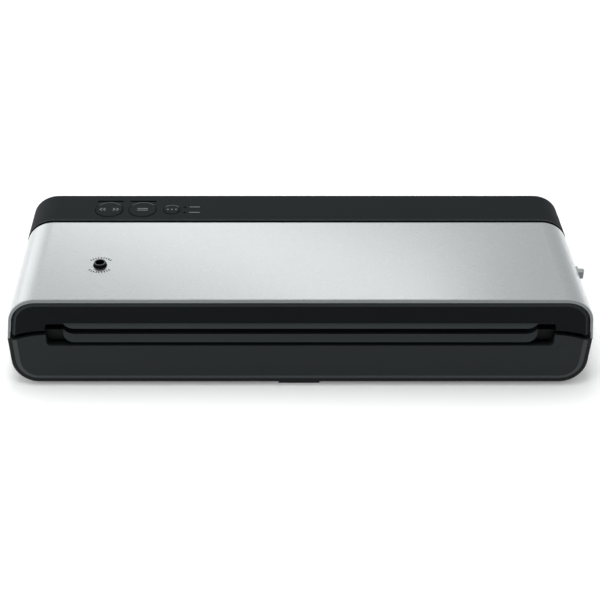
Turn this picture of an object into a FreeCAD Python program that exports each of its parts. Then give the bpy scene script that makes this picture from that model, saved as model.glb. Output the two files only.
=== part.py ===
import FreeCAD, Part
import math
import os
import Sketcher

# A counter-top vacuum sealer: a silver lid on a dark body, hinged in front of a fixed control strip.
# Frame: X to the right, Y to the back, Z up, millimetres, origin on the table under the body's middle.

sizes = {
    # body
    "body_width": 407,
    "body_depth": 140,
    "body_height": 75,
    "foot_height": 2,
    "top_corner_radius": 21,
    "keel_corner_radius": 18.5,
    "waist_rake": 3,
    "side_draft": 2.2,
    "side_lean": 8,
    "lid_step": 0.7,
    "shell_wall": 2.5,
    "fit_gap": 0.3,
    "move_gap": 0.4,
    "running_gap": 0.05,
    # where lid and base part
    "base_edge_drop": 5.2,
    "parting_height": 1.5,
    "base_cheek_rise": 4.3,
    "base_shoulder_drop": 2.9,
    "lid_cheek_rise": 6.8,
    "cheek_width": 27.5,
    "cheek_arc_radius": 58,
    "side_flat_height": 3,
    # bag mouth
    "mouth_sill_drop": 3,
    "mouth_corner_radius": 3,
    "slot_floor_height": 44.1,
    "slot_gap": 5.8,
    "lip_inset": 12.3,
    "lip_height": 4.2,
    "lip_root": 0.8,
    "lip_lean": 1.8,
    "curl_radius": 10.3,
    "curl_rise": 3.8,
    "curl_width": 8,
    "guide_lead": 1,
    "ledge_face_height": 6.6,
    "ledge_corner_radius": 7,
    "ledge_lean": 1.2,
    "ledge_set_back": 2.4,
    # silver cover
    "cover_wall": 1.8,
    "cover_rim_wall": 2.2,
    "cover_brow": 3,
    "rim_corner_radius": 18,
    "cover_rim_depth": 2.5,
    "cover_front_radius": 0.5,
    "cover_rear_radius": 1.5,
    "cover_boss_diameter": 7,
    # lid front and tray
    "fascia_depth": 6.5,
    "fascia_bevel": 2.8,
    "lid_floor": 2.5,
    "tray_wall": 2.2,
    # control strip at the back
    "control_depth": 36.4,
    "hinge_gap": 2.5,
    "control_edge_radius": 0.3,
    "rear_edge_radius": 1.2,
    "button_set_back": 21.5,
    "vacuum_button_inset": 63.1,
    "seal_button_pitch": 25,
    "mode_button_pitch": 21.9,
    "large_button_diameter": 20,
    "small_button_diameter": 12,
    "button_gap": 0.3,
    "hole_bevel": 0.5,
    "button_travel": 0.8,
    "button_proud": 0.3,
    "button_edge": 0.4,
    "button_flange_width": 1.2,
    "button_flange_height": 1,
    "button_stem_diameter": 5,
    "window_set_back": 9.3,
    "window_length": 20.8,
    "window_width": 2,
    "window_corner": 0.8,
    "lens_sink": 0.5,
    "lamp_offset": 9.8,
    "lamp_pitch": 7.9,
    "lamp_diameter": 3.2,
    # lid hinge
    "hinge_set_back": 3.4,
    "hinge_boss_radius": 3,
    "hinge_pin_diameter": 3,
    "hinge_inset": 52,
    "hinge_post_width": 10,
    "hinge_lug_width": 4,
    # lid latch
    "latch_set_back": 58,
    "latch_rise": 7.7,
    "latch_shaft_diameter": 5,
    "latch_swing": 35,
    "hook_inset": 21,
    "hook_width": 6,
    "hook_hub_diameter": 9,
    "strike_gap": 0.5,
    "hook_nose_height": 4.3,
    "hook_nose_length": 6,
    "latch_rib_inset": 18,
    "latch_rib_width": 4,
    "latch_rib_depth": 11,
    "knob_hub_diameter": 11,
    "knob_hub_length": 4,
    "knob_hub_inset": 3.5,
    "knob_fin_height": 7.7,
    "knob_fin_width": 4.3,
    "knob_fin_radius": 1.6,
    "knob_tip_radius": 1,
    "knob_reach": 1.4,
    "knob_socket_depth": 2.5,
    "knob_hole_depth": 9,
    # vacuum chamber and seal
    "chamber_set_back": 42.7,
    "deck_plate": 2.4,
    "deck_set_back": 8.5,
    "deck_side_inset": 12,
    "deck_skirt": 2,
    "deck_flange_drop": 3.5,
    "strike_slot_front": 19,
    "strike_slot_gap": 1,
    "post_foot_width": 18,
    "post_foot_depth": 12,
    "post_foot_height": 3,
    "trough_inset": 14,
    "trough_width": 24,
    "trough_depth": 12.5,
    "trough_radius": 6,
    "trough_wall": 1.8,
    "tray_rim_drop": 0.6,
    "drip_tray_wall": 1.2,
    "gasket_width": 8,
    "gasket_margin": 1.2,
    "gasket_height": 4.2,
    "gasket_groove": 1.5,
    "gasket_radius": 8,
    "seal_bar_inset": 11,
    "seal_bar_width": 7.6,
    "seal_bar_height": 1.8,
    "seal_bar_set_back": 14.2,
    "ribbon_width": 4,
    "ribbon_thickness": 0.3,
    "tape_width": 9.6,
    "tape_thickness": 0.2,
    "strip_height": 4.6,
    # accessory port
    "port_inset": 63.5,
    "port_height": 2.4,
    "port_base_diameter": 9.9,
    "port_rim_diameter": 8.2,
    "port_bore_diameter": 6.4,
    "port_bore_depth": 14,
    "port_duct_diameter": 3.2,
    "port_neck_diameter": 8,
    "port_foot_diameter": 12,
    "port_foot_height": 2.4,
    "port_spigot_diameter": 6,
    # fasteners
    "screw_diameter": 3,
    "screw_head_diameter": 5.6,
    "screw_head_height": 1.8,
    "screw_grip": 9,
    "screw_sink": 4,
    "boss_diameter": 9,
    "boss_joint_height": 20,
    "pan_margin": 1,
    "post_diameter": 8,
    "lid_screw_side_inset": 32,
    "lid_screw_front_set_back": 13,
    "lid_screw_rear_inset": 13.1,
    "lid_screw_inner_x": 60,
    "base_screw_side_inset": 30,
    "base_screw_front_set_back": 22,
    "base_screw_rear_inset": 11.6,
    "base_screw_inner_x": 64,
    "housing_screw_inset": 22,
    "housing_screw_set_back": 11,
    # feet
    "foot_diameter": 14,
    "foot_side_inset": 52,
    "foot_end_inset": 20,
    "front_foot_width": 29,
    "front_foot_depth": 8,
    "front_foot_set_back": 4.6,
    # base front panel
    "tub_edge_radius": 1.8,
    "panel_thickness": 2.5,
    "panel_inset": 3.1,
    "panel_rise": 3.9,
    "panel_corner_radius": 16,
    "panel_bevel_width": 3.8,
    "panel_bevel_depth": 2.1,
    # mains inlet
    "gland_inset": 53.5,
    "gland_height": 20,
    "gland_flange_diameter": 15,
    "gland_flange_height": 1.2,
    "gland_neck_diameter": 11,
    "gland_bore_diameter": 7.2,
    "gland_tail_length": 6,
    "gland_tail_diameter": 14,
    # boards
    "board_thickness": 1.6,
    "board_screw_inset": 5,
    "power_board_inset": 72,
    "power_board_length": 104,
    "power_board_depth": 25,
    "power_board_set_back": 5.5,
    "power_board_stand": 6,
    "standoff_diameter": 6,
    "transformer_length": 34,
    "transformer_width": 23,
    "transformer_height": 25,
    "core_wall": 4,
    "capacitor_diameter": 12,
    "capacitor_height": 20,
    "capacitor_pitch": 15,
    "control_board_margin": 19.6,
    "control_board_length": 98,
    "control_board_drop": 12.5,
    "control_board_inset": 2.6,
    "switch_size": 6,
    "switch_height": 4,
    "switch_button_diameter": 3.4,
    "switch_button_height": 1.2,
    "stem_gap": 0.2,
    "lamp_body_height": 4,
    # lid switch
    "lid_switch_length": 12.8,
    "lid_switch_width": 6.4,
    "lid_switch_height": 6.2,
    "lid_switch_offset": 11.3,
    "plunger_size": 2,
    "plunger_length": 4.4,
    "plunger_reach": 1.4,
    "plunger_travel": 1,
    # vacuum pump
    "pump_set_back": 18.5,
    "pump_axis_height": 25,
    "motor_x": 40,
    "motor_length": 44,
    "motor_diameter": 28,
    "motor_boss_diameter": 9,
    "motor_shaft_diameter": 3,
    "motor_bearing_depth": 10,
    "case_length": 28,
    "case_width": 30,
    "case_top_height": 42,
    "case_wall": 2.4,
    "case_floor": 2.6,
    "crank_room": 4,
    "crank_throw": 2,
    "crank_diameter": 10,
    "crank_length": 6,
    "flywheel_diameter": 18,
    "flywheel_length": 3,
    "flywheel_gap": 2.6,
    "rod_end_wall": 2.2,
    "rod_width": 5,
    "rod_neck": 6,
    "piston_diameter": 17.8,
    "piston_height": 5,
    "piston_rest": 1,
    "cylinder_wall": 2.6,
    "cylinder_height": 13.6,
    "head_height": 6,
    "barb_length": 8,
    "cradle_length": 30,
    "cradle_width": 22,
    "cradle_height": 9,
    # hose
    "hose_bore": 4,
    "hose_diameter": 6,
    "hose_x": 24,
    "barb_rise": 2,
    "hose_bend": 10,
    "barb_bore": 2.4,
}

doc = FreeCAD.newDocument("vacuum_sealer")
sheet = doc.addObject("Spreadsheet::Sheet", "dims")
for row, (alias, number) in enumerate(sizes.items(), start=1):
    sheet.set(f"A{row}", alias)
    sheet.set(f"B{row}", str(number))
    sheet.setAlias(f"B{row}", alias)
doc.recompute()


class Size:
    """A length that carries its number and the sheet formula it comes from."""

    def __init__(self, number, formula):
        self.number = number
        self.formula = formula

    def joined(self, other, number, sign):
        return Size(number, f"({self.formula} {sign} {sized(other).formula})")

    def __add__(self, other):
        return self.joined(other, self.number + sized(other).number, "+")

    def __sub__(self, other):
        return self.joined(other, self.number - sized(other).number, "-")

    def __mul__(self, other):
        return self.joined(other, self.number * sized(other).number, "*")

    def __truediv__(self, other):
        return self.joined(other, self.number / sized(other).number, "/")

    def __neg__(self):
        return Size(-self.number, f"(0 - {self.formula})")


class Sheet:
    """Reads each alias of the sheet as a size."""

    def __getattr__(self, alias):
        return Size(float(sheet.get(alias)), f"dims.{alias}")


def least(one, other):
    return Size(min(one.number, other.number), f"min({one.formula}; {other.formula})")


def ratio(function, angle):
    """A sine, cosine or tangent of an angle in degrees."""
    number = getattr(math, function)(math.radians(angle.number))
    return Size(number, f"{function}({angle.formula} * 1 deg)")


def sized(value):
    return value if isinstance(value, Size) else Size(float(value), repr(float(value)))


d = Sheet()
zero = sized(0)
nodes = []


def node(piece, label):
    """Marks an object as one finished piece."""
    piece.Label = label
    nodes.append(piece)
    return piece


def block(name, x, y, z):
    """A box between pairs of X, Y and Z."""
    box = doc.addObject("Part::Box", name)
    for prop, letter, span in (("Length", "x", x), ("Width", "y", y), ("Height", "z", z)):
        low = sized(span[0])
        box.setExpression(prop, (sized(span[1]) - low).formula)
        box.setExpression(f"Placement.Base.{letter}", low.formula)
    return box


turns = {
    "x": (FreeCAD.Rotation(FreeCAD.Vector(0, 1, 0), 90), "yzx"),
    "y": (FreeCAD.Rotation(FreeCAD.Vector(1, 0, 0), -90), "xzy"),
    "z": (FreeCAD.Rotation(), "xyz"),
}


def rod(name, axis, first, second, span, radius):
    """A cylinder along one axis, at two coordinates in X, Y, Z order, over a span of the third."""
    rotation, letters = turns[axis]
    cylinder = doc.addObject("Part::Cylinder", name)
    cylinder.Placement = FreeCAD.Placement(FreeCAD.Vector(), rotation)
    cylinder.setExpression("Radius", radius.formula)
    cylinder.setExpression("Height", (sized(span[1]) - span[0]).formula)
    for letter, value in zip(letters, (first, second, span[0])):
        cylinder.setExpression(f"Placement.Base.{letter}", sized(value).formula)
    return cylinder


def fuse(name, *pieces):
    union = doc.addObject("Part::MultiFuse", name)
    union.Shapes = list(pieces)
    union.Refine = True
    return union


def cut(name, base, *tools):
    result = doc.addObject("Part::Cut", name)
    result.Base = base
    result.Tool = tools[0] if len(tools) == 1 else fuse(f"{name}_cuts", *tools)
    result.Refine = True
    return result


def common(name, base, tool):
    result = doc.addObject("Part::Common", name)
    result.Base = base
    result.Tool = tool
    result.Refine = True
    return result


def group(name, *pieces):
    """Separate solids of one kind, kept as one piece."""
    compound = doc.addObject("Part::Compound", name)
    compound.Links = list(pieces)
    return compound


def point(spot):
    return FreeCAD.Vector(sized(spot[0]).number, sized(spot[1]).number, 0)


def arc_between(start, end, radius, side):
    """The short arc from start to end that bends to the given side, and the order of its ends."""
    chord = end - start
    middle = (start + end) * 0.5
    rise = math.sqrt(max(radius ** 2 - (chord.Length / 2) ** 2, 0))
    normal = FreeCAD.Vector(-chord.y, chord.x, 0).normalize()
    centre = middle + normal * (rise if side == "left" else -rise)
    angles = [math.atan2(spot.y - centre.y, spot.x - centre.x) for spot in (start, end)]
    circle = Part.Circle(centre, FreeCAD.Vector(0, 0, 1), radius)
    if side == "left":
        return Part.ArcOfCircle(circle, angles[0], angles[1]), (1, 2)
    return Part.ArcOfCircle(circle, angles[1], angles[0]), (2, 1)


def hold(sketch, kind, geometry, end, value):
    """Ties one coordinate of a sketch point to a formula."""
    if abs(value.number) < 1e-9:
        axis = -2 if kind == "DistanceX" else -1
        sketch.addConstraint(Sketcher.Constraint("PointOnObject", geometry, end, axis))
        return
    index = sketch.addConstraint(Sketcher.Constraint(kind, -1, 1, geometry, end, value.number))
    sketch.setExpression(f"Constraints[{index}]", value.formula)


def outline(sketch, spots):
    """A closed loop; a spot with a radius and a side is reached by an arc, any other by a line."""
    ends = []
    for index, spot in enumerate(spots):
        start, end = point(spots[index - 1]), point(spot)
        if len(spot) == 2:
            ends.append((sketch.addGeometry(Part.LineSegment(start, end)), 1, 2))
        else:
            arc, order = arc_between(start, end, sized(spot[2]).number, spot[3])
            ends.append((sketch.addGeometry(arc), *order))
    for index, spot in enumerate(spots):
        geometry, first, last = ends[index]
        following = ends[(index + 1) % len(ends)]
        joint = Sketcher.Constraint("Coincident", geometry, last, following[0], following[1])
        sketch.addConstraint(joint)
        hold(sketch, "DistanceX", geometry, last, sized(spot[0]))
        hold(sketch, "DistanceY", geometry, last, sized(spot[1]))
        if len(spot) > 2:
            radius = sized(spot[2])
            number = sketch.addConstraint(Sketcher.Constraint("Radius", geometry, radius.number))
            sketch.setExpression(f"Constraints[{number}]", radius.formula)


def rounded(x, y, radius):
    """The spots of a rectangle with round corners."""
    low_x, high_x, low_y, high_y = sized(x[0]), sized(x[1]), sized(y[0]), sized(y[1])
    return [
        (low_x + radius, low_y, radius, "left"),
        (high_x - radius, low_y),
        (high_x, low_y + radius, radius, "left"),
        (high_x, high_y - radius),
        (high_x - radius, high_y, radius, "left"),
        (low_x + radius, high_y),
        (low_x, high_y - radius, radius, "left"),
        (low_x, low_y + radius),
    ]


def arch(wide, low, high, radius):
    """The spots of a section with round upper corners, the same on both sides of the middle."""
    return [
        (-wide, low),
        (wide, low),
        (wide, high - radius),
        (wide - radius, high, radius, "left"),
        (radius - wide, high),
        (-wide, high - radius, radius, "left"),
    ]


def hood(wide, low, high, radius):
    """The spots of a section whose sides lean in from its foot to round upper corners."""
    level_z = high - radius
    turn_x = wide - (level_z - low) * lean_run - radius / lean_cosine
    side_x = turn_x + radius * lean_cosine
    side_z = level_z + radius * lean_sine
    return [
        (-wide, low),
        (wide, low),
        (side_x, side_z),
        (turn_x, high, radius, "left"),
        (-turn_x, high),
        (-side_x, side_z, radius, "left"),
    ]


def cradle(wide, low, high, radius):
    """The spots of a section with round lower corners, the same on both sides of the middle."""
    return [
        (wide, high),
        (-wide, high),
        (-wide, low + radius),
        (radius - wide, low, radius, "left"),
        (wide - radius, low),
        (wide, low + radius, radius, "left"),
    ]


def circle(sketch, x, y, radius):
    shape = Part.Circle(point((x, y)), FreeCAD.Vector(0, 0, 1), radius.number)
    geometry = sketch.addGeometry(shape)
    index = sketch.addConstraint(Sketcher.Constraint("Radius", geometry, radius.number))
    sketch.setExpression(f"Constraints[{index}]", radius.formula)
    hold(sketch, "DistanceX", geometry, 3, sized(x))
    hold(sketch, "DistanceY", geometry, 3, sized(y))


def new_body(name):
    return doc.addObject("PartDesign::Body", name)


def plane_of(body, role):
    return next(item for item in body.Origin.OriginFeatures if item.Role == role)


def sketch_on(body, name, role, offset):
    """A sketch on one of the body's own planes, moved along that plane's normal."""
    sketch = body.newObject("Sketcher::SketchObject", f"{body.Name}_{name}_sketch")
    sketch.AttachmentSupport = [(plane_of(body, role), "")]
    sketch.MapMode = "FlatFace"
    sketch.setExpression("AttachmentOffset.Base.z", sized(offset).formula)
    return sketch


def front_sketch(body, name, y):
    """A sketch in X and Z at a given Y."""
    return sketch_on(body, name, "XZ_Plane", -sized(y))


def top_sketch(body, name, z):
    """A sketch in X and Y at a given Z."""
    return sketch_on(body, name, "XY_Plane", z)


def side_sketch(body, name, x):
    """A sketch in Y and Z at a given X."""
    return sketch_on(body, name, "YZ_Plane", x)


def extrude(body, kind, name, sketch, length, back):
    before = body.Shape.Volume if body.Tip else 0
    feature = body.newObject(f"PartDesign::{kind}", f"{body.Name}_{name}")
    feature.Profile = sketch
    feature.setExpression("Length", sized(length).formula)
    feature.Reversed = back
    doc.recompute()
    grown = feature.Shape.Volume - before
    if (grown <= 0) == (kind == "Pad"):
        raise RuntimeError(f"{feature.Name} changed nothing")
    return feature


def pad(body, name, sketch, length, back=False):
    return extrude(body, "Pad", name, sketch, length, back)


def pocket(body, name, sketch, length, back=False):
    return extrude(body, "Pocket", name, sketch, length, back)


def revolve(body, name, spots):
    """A solid of revolution about the body's own Z from spots of radius and height."""
    sketch = front_sketch(body, name, 0)
    outline(sketch, spots)
    feature = body.newObject("PartDesign::Revolution", f"{body.Name}_{name}")
    feature.Profile = sketch
    feature.ReferenceAxis = (sketch, ["V_Axis"])
    feature.Angle = 360
    doc.recompute()
    return feature


def dress(body, kind, name, picked, **values):
    """Rounds or bevels the edges of the body that the test picks."""
    base = body.Tip
    edges = [f"Edge{index}" for index, edge in enumerate(base.Shape.Edges, start=1) if picked(edge)]
    if not edges:
        raise RuntimeError(f"{body.Name} {name} found no edge")
    feature = body.newObject(f"PartDesign::{kind}", f"{body.Name}_{name}")
    feature.Base = (base, edges)
    if len(values) > 1:
        feature.ChamferType = "Two distances"
    for prop, value in values.items():
        feature.setExpression(prop, value.formula)
    doc.recompute()
    return feature


def near(value, size):
    return abs(value - sized(size).number) < 0.01


def along_y(edge):
    return edge.BoundBox.XLength < 0.01 and edge.BoundBox.ZLength < 0.01


def level(edge, z):
    return near(edge.BoundBox.ZMin, z) and near(edge.BoundBox.ZMax, z)


def across_y(edge, y):
    return near(edge.BoundBox.YMin, y) and near(edge.BoundBox.YMax, y)


def place(piece, x, y, z):
    for letter, value in (("x", x), ("y", y), ("z", z)):
        piece.setExpression(f"Placement.Base.{letter}", sized(value).formula)


# Shared planes of the assembly.
half = d.body_width / 2
lid_half = half - d.lid_step
lean_run = ratio("tan", d.side_lean)
lean_sine = ratio("sin", d.side_lean)
lean_cosine = ratio("cos", d.side_lean)
front = -(d.body_depth / 2)
rear = d.body_depth / 2
top = d.body_height
control_front = rear - d.control_depth
lid_rear = control_front - d.hinge_gap
base_edge = d.slot_floor_height - d.base_edge_drop
lid_edge = base_edge + d.parting_height
base_cheek = base_edge + d.base_cheek_rise
base_shoulder = base_edge - d.base_shoulder_drop
lid_cheek = lid_edge + d.lid_cheek_rise
lid_under = d.slot_floor_height + d.slot_gap
lid_floor_top = lid_under + d.lid_floor
base_floor = d.foot_height + d.shell_wall
fascia_half = lid_half - d.cover_rim_wall - d.fit_gap
tray_half = lid_half - (lid_floor_top - lid_edge) * lean_run - d.cover_wall - d.fit_gap
fascia_back = front + d.fascia_depth
tray_back = lid_rear - d.fit_gap
cover_under = top - d.cover_wall
mouth_half = half - d.cheek_width
lip_half = mouth_half - d.lip_inset
lip_flat = lip_half - d.curl_width
lip_top = lid_under + d.lip_height
mouth_lintel = lip_top - d.lip_root
ledge_foot = d.slot_floor_height - d.ledge_face_height
mouth_sill = ledge_foot - d.mouth_sill_drop
trough_half = lip_half - d.trough_inset
bar_half = lip_half - d.seal_bar_inset
hinge_y = lid_rear - d.hinge_set_back
hinge_z = cover_under - d.fit_gap - d.hinge_boss_radius
hinge_x = half - d.hinge_inset
latch_y = front + d.latch_set_back
latch_z = lid_under + d.latch_rise
hook_x = half - d.hook_inset
chamber_y = front + d.chamber_set_back
button_y = rear - d.button_set_back
vacuum_x = half - d.vacuum_button_inset
seal_x = vacuum_x - d.seal_button_pitch
mode_x = seal_x - d.mode_button_pitch
port_x = half - d.port_inset
gland_x = half - d.gland_inset
pump_y = rear - d.pump_set_back
corner_radius = least(d.top_corner_radius, top - lid_edge - d.side_flat_height)
flat_half = lid_half - (top - corner_radius - lid_edge) * lean_run - corner_radius / lean_cosine
deck_under = d.slot_floor_height - d.deck_plate
trough_floor = d.slot_floor_height - d.trough_depth
hose_z = trough_floor + d.barb_rise
hook_reach = latch_z - deck_under + d.strike_gap + d.hook_nose_height


def both_sides(x):
    """The same distance to the left and to the right of the middle."""
    return (-x, x)


lid_screw_front = front + d.lid_screw_front_set_back
lid_screw_rear = lid_rear - d.lid_screw_rear_inset
lid_screw_x = half - d.lid_screw_side_inset
lid_screw_spots = [(x, lid_screw_front) for x in both_sides(lid_screw_x)]
lid_screw_spots += [(x, lid_screw_rear) for x in both_sides(lid_screw_x)]
lid_screw_spots += [(x, lid_screw_rear) for x in both_sides(d.lid_screw_inner_x)]
deck_screw_front = front + d.base_screw_front_set_back
deck_screw_rear = control_front - d.base_screw_rear_inset
deck_screw_x = half - d.base_screw_side_inset
deck_screw_spots = [(x, deck_screw_front) for x in both_sides(deck_screw_x)]
deck_screw_spots += [(x, deck_screw_rear) for x in both_sides(deck_screw_x)]
deck_screw_spots += [(x, deck_screw_rear) for x in both_sides(d.base_screw_inner_x)]
housing_screw_x = half - d.housing_screw_inset
housing_screw_spots = [(x, rear - d.housing_screw_set_back) for x in both_sides(housing_screw_x)]

# Silver lid cover: a bent sheet with a thicker front rim, open below, in front and behind.
cover = new_body("lid_cover")
cover_section = front_sketch(cover, "section", front)
outline(cover_section, hood(lid_half, lid_edge, top, corner_radius))
pad(cover, "block", cover_section, lid_rear - front, back=True)
open_edge = lid_edge - d.fit_gap
rim_section = front_sketch(cover, "rim", front)
rim_radius = least(d.rim_corner_radius, corner_radius - d.cover_brow)
outline(rim_section, hood(lid_half - d.cover_rim_wall, open_edge, top - d.cover_brow, rim_radius))
pocket(cover, "hollow", rim_section, lid_rear - front)
sheet_section = front_sketch(cover, "sheet", lid_rear)
sheet_radius = corner_radius - d.cover_wall
outline(sheet_section, hood(lid_half - d.cover_wall, open_edge, cover_under, sheet_radius))
pocket(cover, "thin_wall", sheet_section, lid_rear - front - d.cover_rim_depth, back=True)
cover_rake = side_sketch(cover, "rake", half)
outline(cover_rake, [(front, top), (front, lid_edge), (front + d.waist_rake, lid_edge)])
pocket(cover, "raked_front", cover_rake, d.body_width)


def on_outside(edge, width, height):
    """Whether an edge starts or ends on the outer skin."""
    reach = max(abs(vertex.X) for vertex in edge.Vertexes)
    crest = max(vertex.Z for vertex in edge.Vertexes)
    return near(reach, width) or near(crest, height)


def cover_front_edge(edge):
    ahead = edge.BoundBox.YMax < (front + d.waist_rake).number + 0.01
    return ahead and on_outside(edge, lid_half, top) and not level(edge, lid_edge)


def cover_rear_edge(edge):
    return across_y(edge, lid_rear) and on_outside(edge, lid_half, top) and not level(edge, lid_edge)


dress(cover, "Fillet", "front_edge", cover_front_edge, Radius=d.cover_front_radius)
dress(cover, "Fillet", "rear_edge", cover_rear_edge, Radius=d.cover_rear_radius)
boss_sketch = top_sketch(cover, "bosses", lid_floor_top)
for x, y in lid_screw_spots:
    circle(boss_sketch, x, y, d.cover_boss_diameter / 2)
pad(cover, "bosses", boss_sketch, cover_under - lid_floor_top)
pilot_sketch = top_sketch(cover, "pilots", lid_floor_top)
for x, y in lid_screw_spots:
    circle(pilot_sketch, x, y, d.screw_diameter / 2)
pocket(cover, "pilots", pilot_sketch, d.screw_grip + d.fit_gap, back=True)
port_hole = top_sketch(cover, "port_hole", top)
circle(port_hole, -port_x, chamber_y, d.port_neck_diameter / 2 + d.fit_gap)
pocket(cover, "port_hole", port_hole, d.cover_wall)
knob_hole = side_sketch(cover, "knob_hole", half)
circle(knob_hole, latch_y, latch_z, d.knob_hub_diameter / 2 + d.move_gap)
pocket(cover, "knob_hole", knob_hole, d.knob_hole_depth)
node(cover, "lid_cover")

# Lid fascia: the dark front wall under the silver rim, with the mouth's upper half and its lip.
fascia = new_body("lid_fascia")
fascia_top = top - d.cover_brow - d.fit_gap
fascia_section = front_sketch(fascia, "section", front)
fascia_radius = rim_radius - d.fit_gap
outline(fascia_section, hood(fascia_half, lid_edge, fascia_top, fascia_radius))
pad(fascia, "block", fascia_section, d.fascia_depth, back=True)
fascia_rake = side_sketch(fascia, "rake", half)
outline(fascia_rake, [(front, top), (front, lid_edge), (front + d.waist_rake, lid_edge)])
pocket(fascia, "raked_front", fascia_rake, d.body_width)


def fascia_front_edge(edge):
    ahead = edge.BoundBox.YMax < (front + d.waist_rake).number + 0.01
    return ahead and on_outside(edge, fascia_half, fascia_top) and not level(edge, lid_edge)


dress(fascia, "Chamfer", "bevel", fascia_front_edge, Size=d.fascia_bevel)
fascia_mouth = front_sketch(fascia, "mouth", front)
outline(fascia_mouth, arch(mouth_half, open_edge, mouth_lintel, d.mouth_corner_radius))
pocket(fascia, "mouth", fascia_mouth, d.fascia_depth)
for name, side, bend in (("left", -1, "left"), ("right", 1, "right")):
    cheek = front_sketch(fascia, f"{name}_cheek", front)
    outline(cheek, [
        (mouth_half * side, open_edge),
        (mouth_half * side, lid_cheek),
        (half * side, lid_edge, d.cheek_arc_radius, bend),
        (half * side, open_edge),
    ])
    pocket(fascia, f"{name}_cheek", cheek, d.fascia_depth)
lip_front = front + d.waist_rake - d.lip_lean
curl_top = lid_under + d.curl_rise
lip = front_sketch(fascia, "lip", lip_front)
outline(lip, [
    (-lip_half, curl_top),
    (-lip_flat, lid_under, d.curl_radius, "left"),
    (lip_flat, lid_under),
    (lip_half, curl_top, d.curl_radius, "left"),
    (lip_half, lip_top),
    (-lip_half, lip_top),
])
pad(fascia, "lip", lip, fascia_back - lip_front, back=True)
lip_face = side_sketch(fascia, "lip_face", lip_half)
outline(lip_face, [(lip_front, lid_under), (lip_front, lip_top), (lip_front + d.lip_lean, lip_top)])
pocket(fascia, "lip_face", lip_face, lip_half * 2)
node(fascia, "lid_fascia")

# Lid tray: the floor under the cover, with side skirts, a back wall, hinge lugs and latch ribs.
tray_span = (fascia_back, tray_back)
tray_solids = [
    block("tray_floor", (-tray_half, tray_half), tray_span, (lid_under, lid_floor_top)),
    block("tray_back_wall", (-flat_half, flat_half), (tray_back - d.tray_wall, tray_back),
          (lid_floor_top, cover_under - d.fit_gap)),
]
for name, side in (("left", -1), ("right", 1)):
    skirt = sorted(((tray_half - d.tray_wall) * side, tray_half * side), key=lambda size: size.number)
    tray_solids.append(block(f"tray_skirt_{name}", skirt, tray_span, (lid_edge, lid_under)))
tray_cuts = []
lug_inner = d.hinge_post_width / 2 + d.move_gap
lug_outer = lug_inner + d.hinge_lug_width
lug_y = (hinge_y - d.hinge_boss_radius, hinge_y + d.hinge_boss_radius)
for name, middle in zip(("left", "right"), both_sides(hinge_x)):
    for hand, low, high in (("a", -lug_outer, -lug_inner), ("b", lug_inner, lug_outer)):
        lug_x = (middle + low, middle + high)
        tray_solids.append(block(f"lug_{name}_{hand}", lug_x, lug_y, (lid_under, hinge_z)))
        tray_solids.append(rod(f"eye_{name}_{hand}", "x", hinge_y, hinge_z, lug_x, d.hinge_boss_radius))
    pin_x = (middle - lug_outer, middle + lug_outer)
    tray_cuts.append(rod(f"lug_bore_{name}", "x", hinge_y, hinge_z, pin_x, d.hinge_pin_diameter / 2))
    slot_x = (middle - lug_inner, middle + lug_inner)
    slot_y = (hinge_y - d.hinge_boss_radius - d.move_gap, lid_rear)
    tray_cuts.append(block(f"post_slot_{name}", slot_x, slot_y, (lid_under - d.fit_gap, top)))
rib_y = (latch_y - d.latch_rib_depth / 2, latch_y + d.latch_rib_depth / 2)
rib_z = (lid_floor_top, latch_z + d.latch_rib_depth / 2)
rib_half = hook_x - d.latch_rib_inset
for name, middle in (("left", -rib_half), ("middle", zero), ("right", rib_half)):
    rib_x = (middle - d.latch_rib_width / 2, middle + d.latch_rib_width / 2)
    tray_solids.append(block(f"latch_rib_{name}", rib_x, rib_y, rib_z))
rib_span = (-(rib_half + d.latch_rib_width), rib_half + d.latch_rib_width)
rib_bore = d.latch_shaft_diameter / 2 + d.running_gap
tray_cuts.append(rod("latch_rib_bores", "x", latch_y, latch_z, rib_span, rib_bore))
floor_cut = (lid_under - d.fit_gap, lid_floor_top + d.fit_gap)
hook_room = d.hook_width / 2 + d.move_gap
sway = d.hook_hub_diameter
for name, middle in zip(("left", "right"), both_sides(hook_x)):
    slot_x = (middle - hook_room, middle + hook_room)
    slot_y = (latch_y - sway - d.move_gap, latch_y + sway / 2 + d.move_gap)
    tray_cuts.append(block(f"floor_slot_{name}", slot_x, slot_y, floor_cut))
knob_start = half - d.knob_hub_inset - d.knob_hub_length
knob_room = (knob_start - d.move_gap, half)
tray_cuts.append(rod("knob_room", "x", latch_y, latch_z, knob_room, d.knob_hub_diameter / 2 + d.move_gap))
tray_cuts.append(rod("port_floor_hole", "z", -port_x, chamber_y, floor_cut, d.port_spigot_diameter / 2))
for index, (x, y) in enumerate(lid_screw_spots):
    clear = d.screw_diameter / 2 + d.fit_gap
    tray_cuts.append(rod(f"tray_screw_hole_{index}", "z", x, y, floor_cut, clear))
    sink = (lid_under - d.fit_gap, lid_under + d.screw_head_height)
    tray_cuts.append(rod(f"tray_screw_sink_{index}", "z", x, y, sink, d.screw_head_diameter / 2 + d.fit_gap))
strip_y = front + d.seal_bar_set_back
strip_span = (strip_y - d.seal_bar_width / 2, strip_y + d.seal_bar_width / 2)
groove_top = lid_under + d.gasket_groove
strip_room = (strip_span[0] - d.fit_gap, strip_span[1] + d.fit_gap)
strip_reach = (-(bar_half + d.fit_gap), bar_half + d.fit_gap)
tray_cuts.append(block("strip_groove", strip_reach, strip_room, (lid_under - d.fit_gap, groove_top)))


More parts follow.
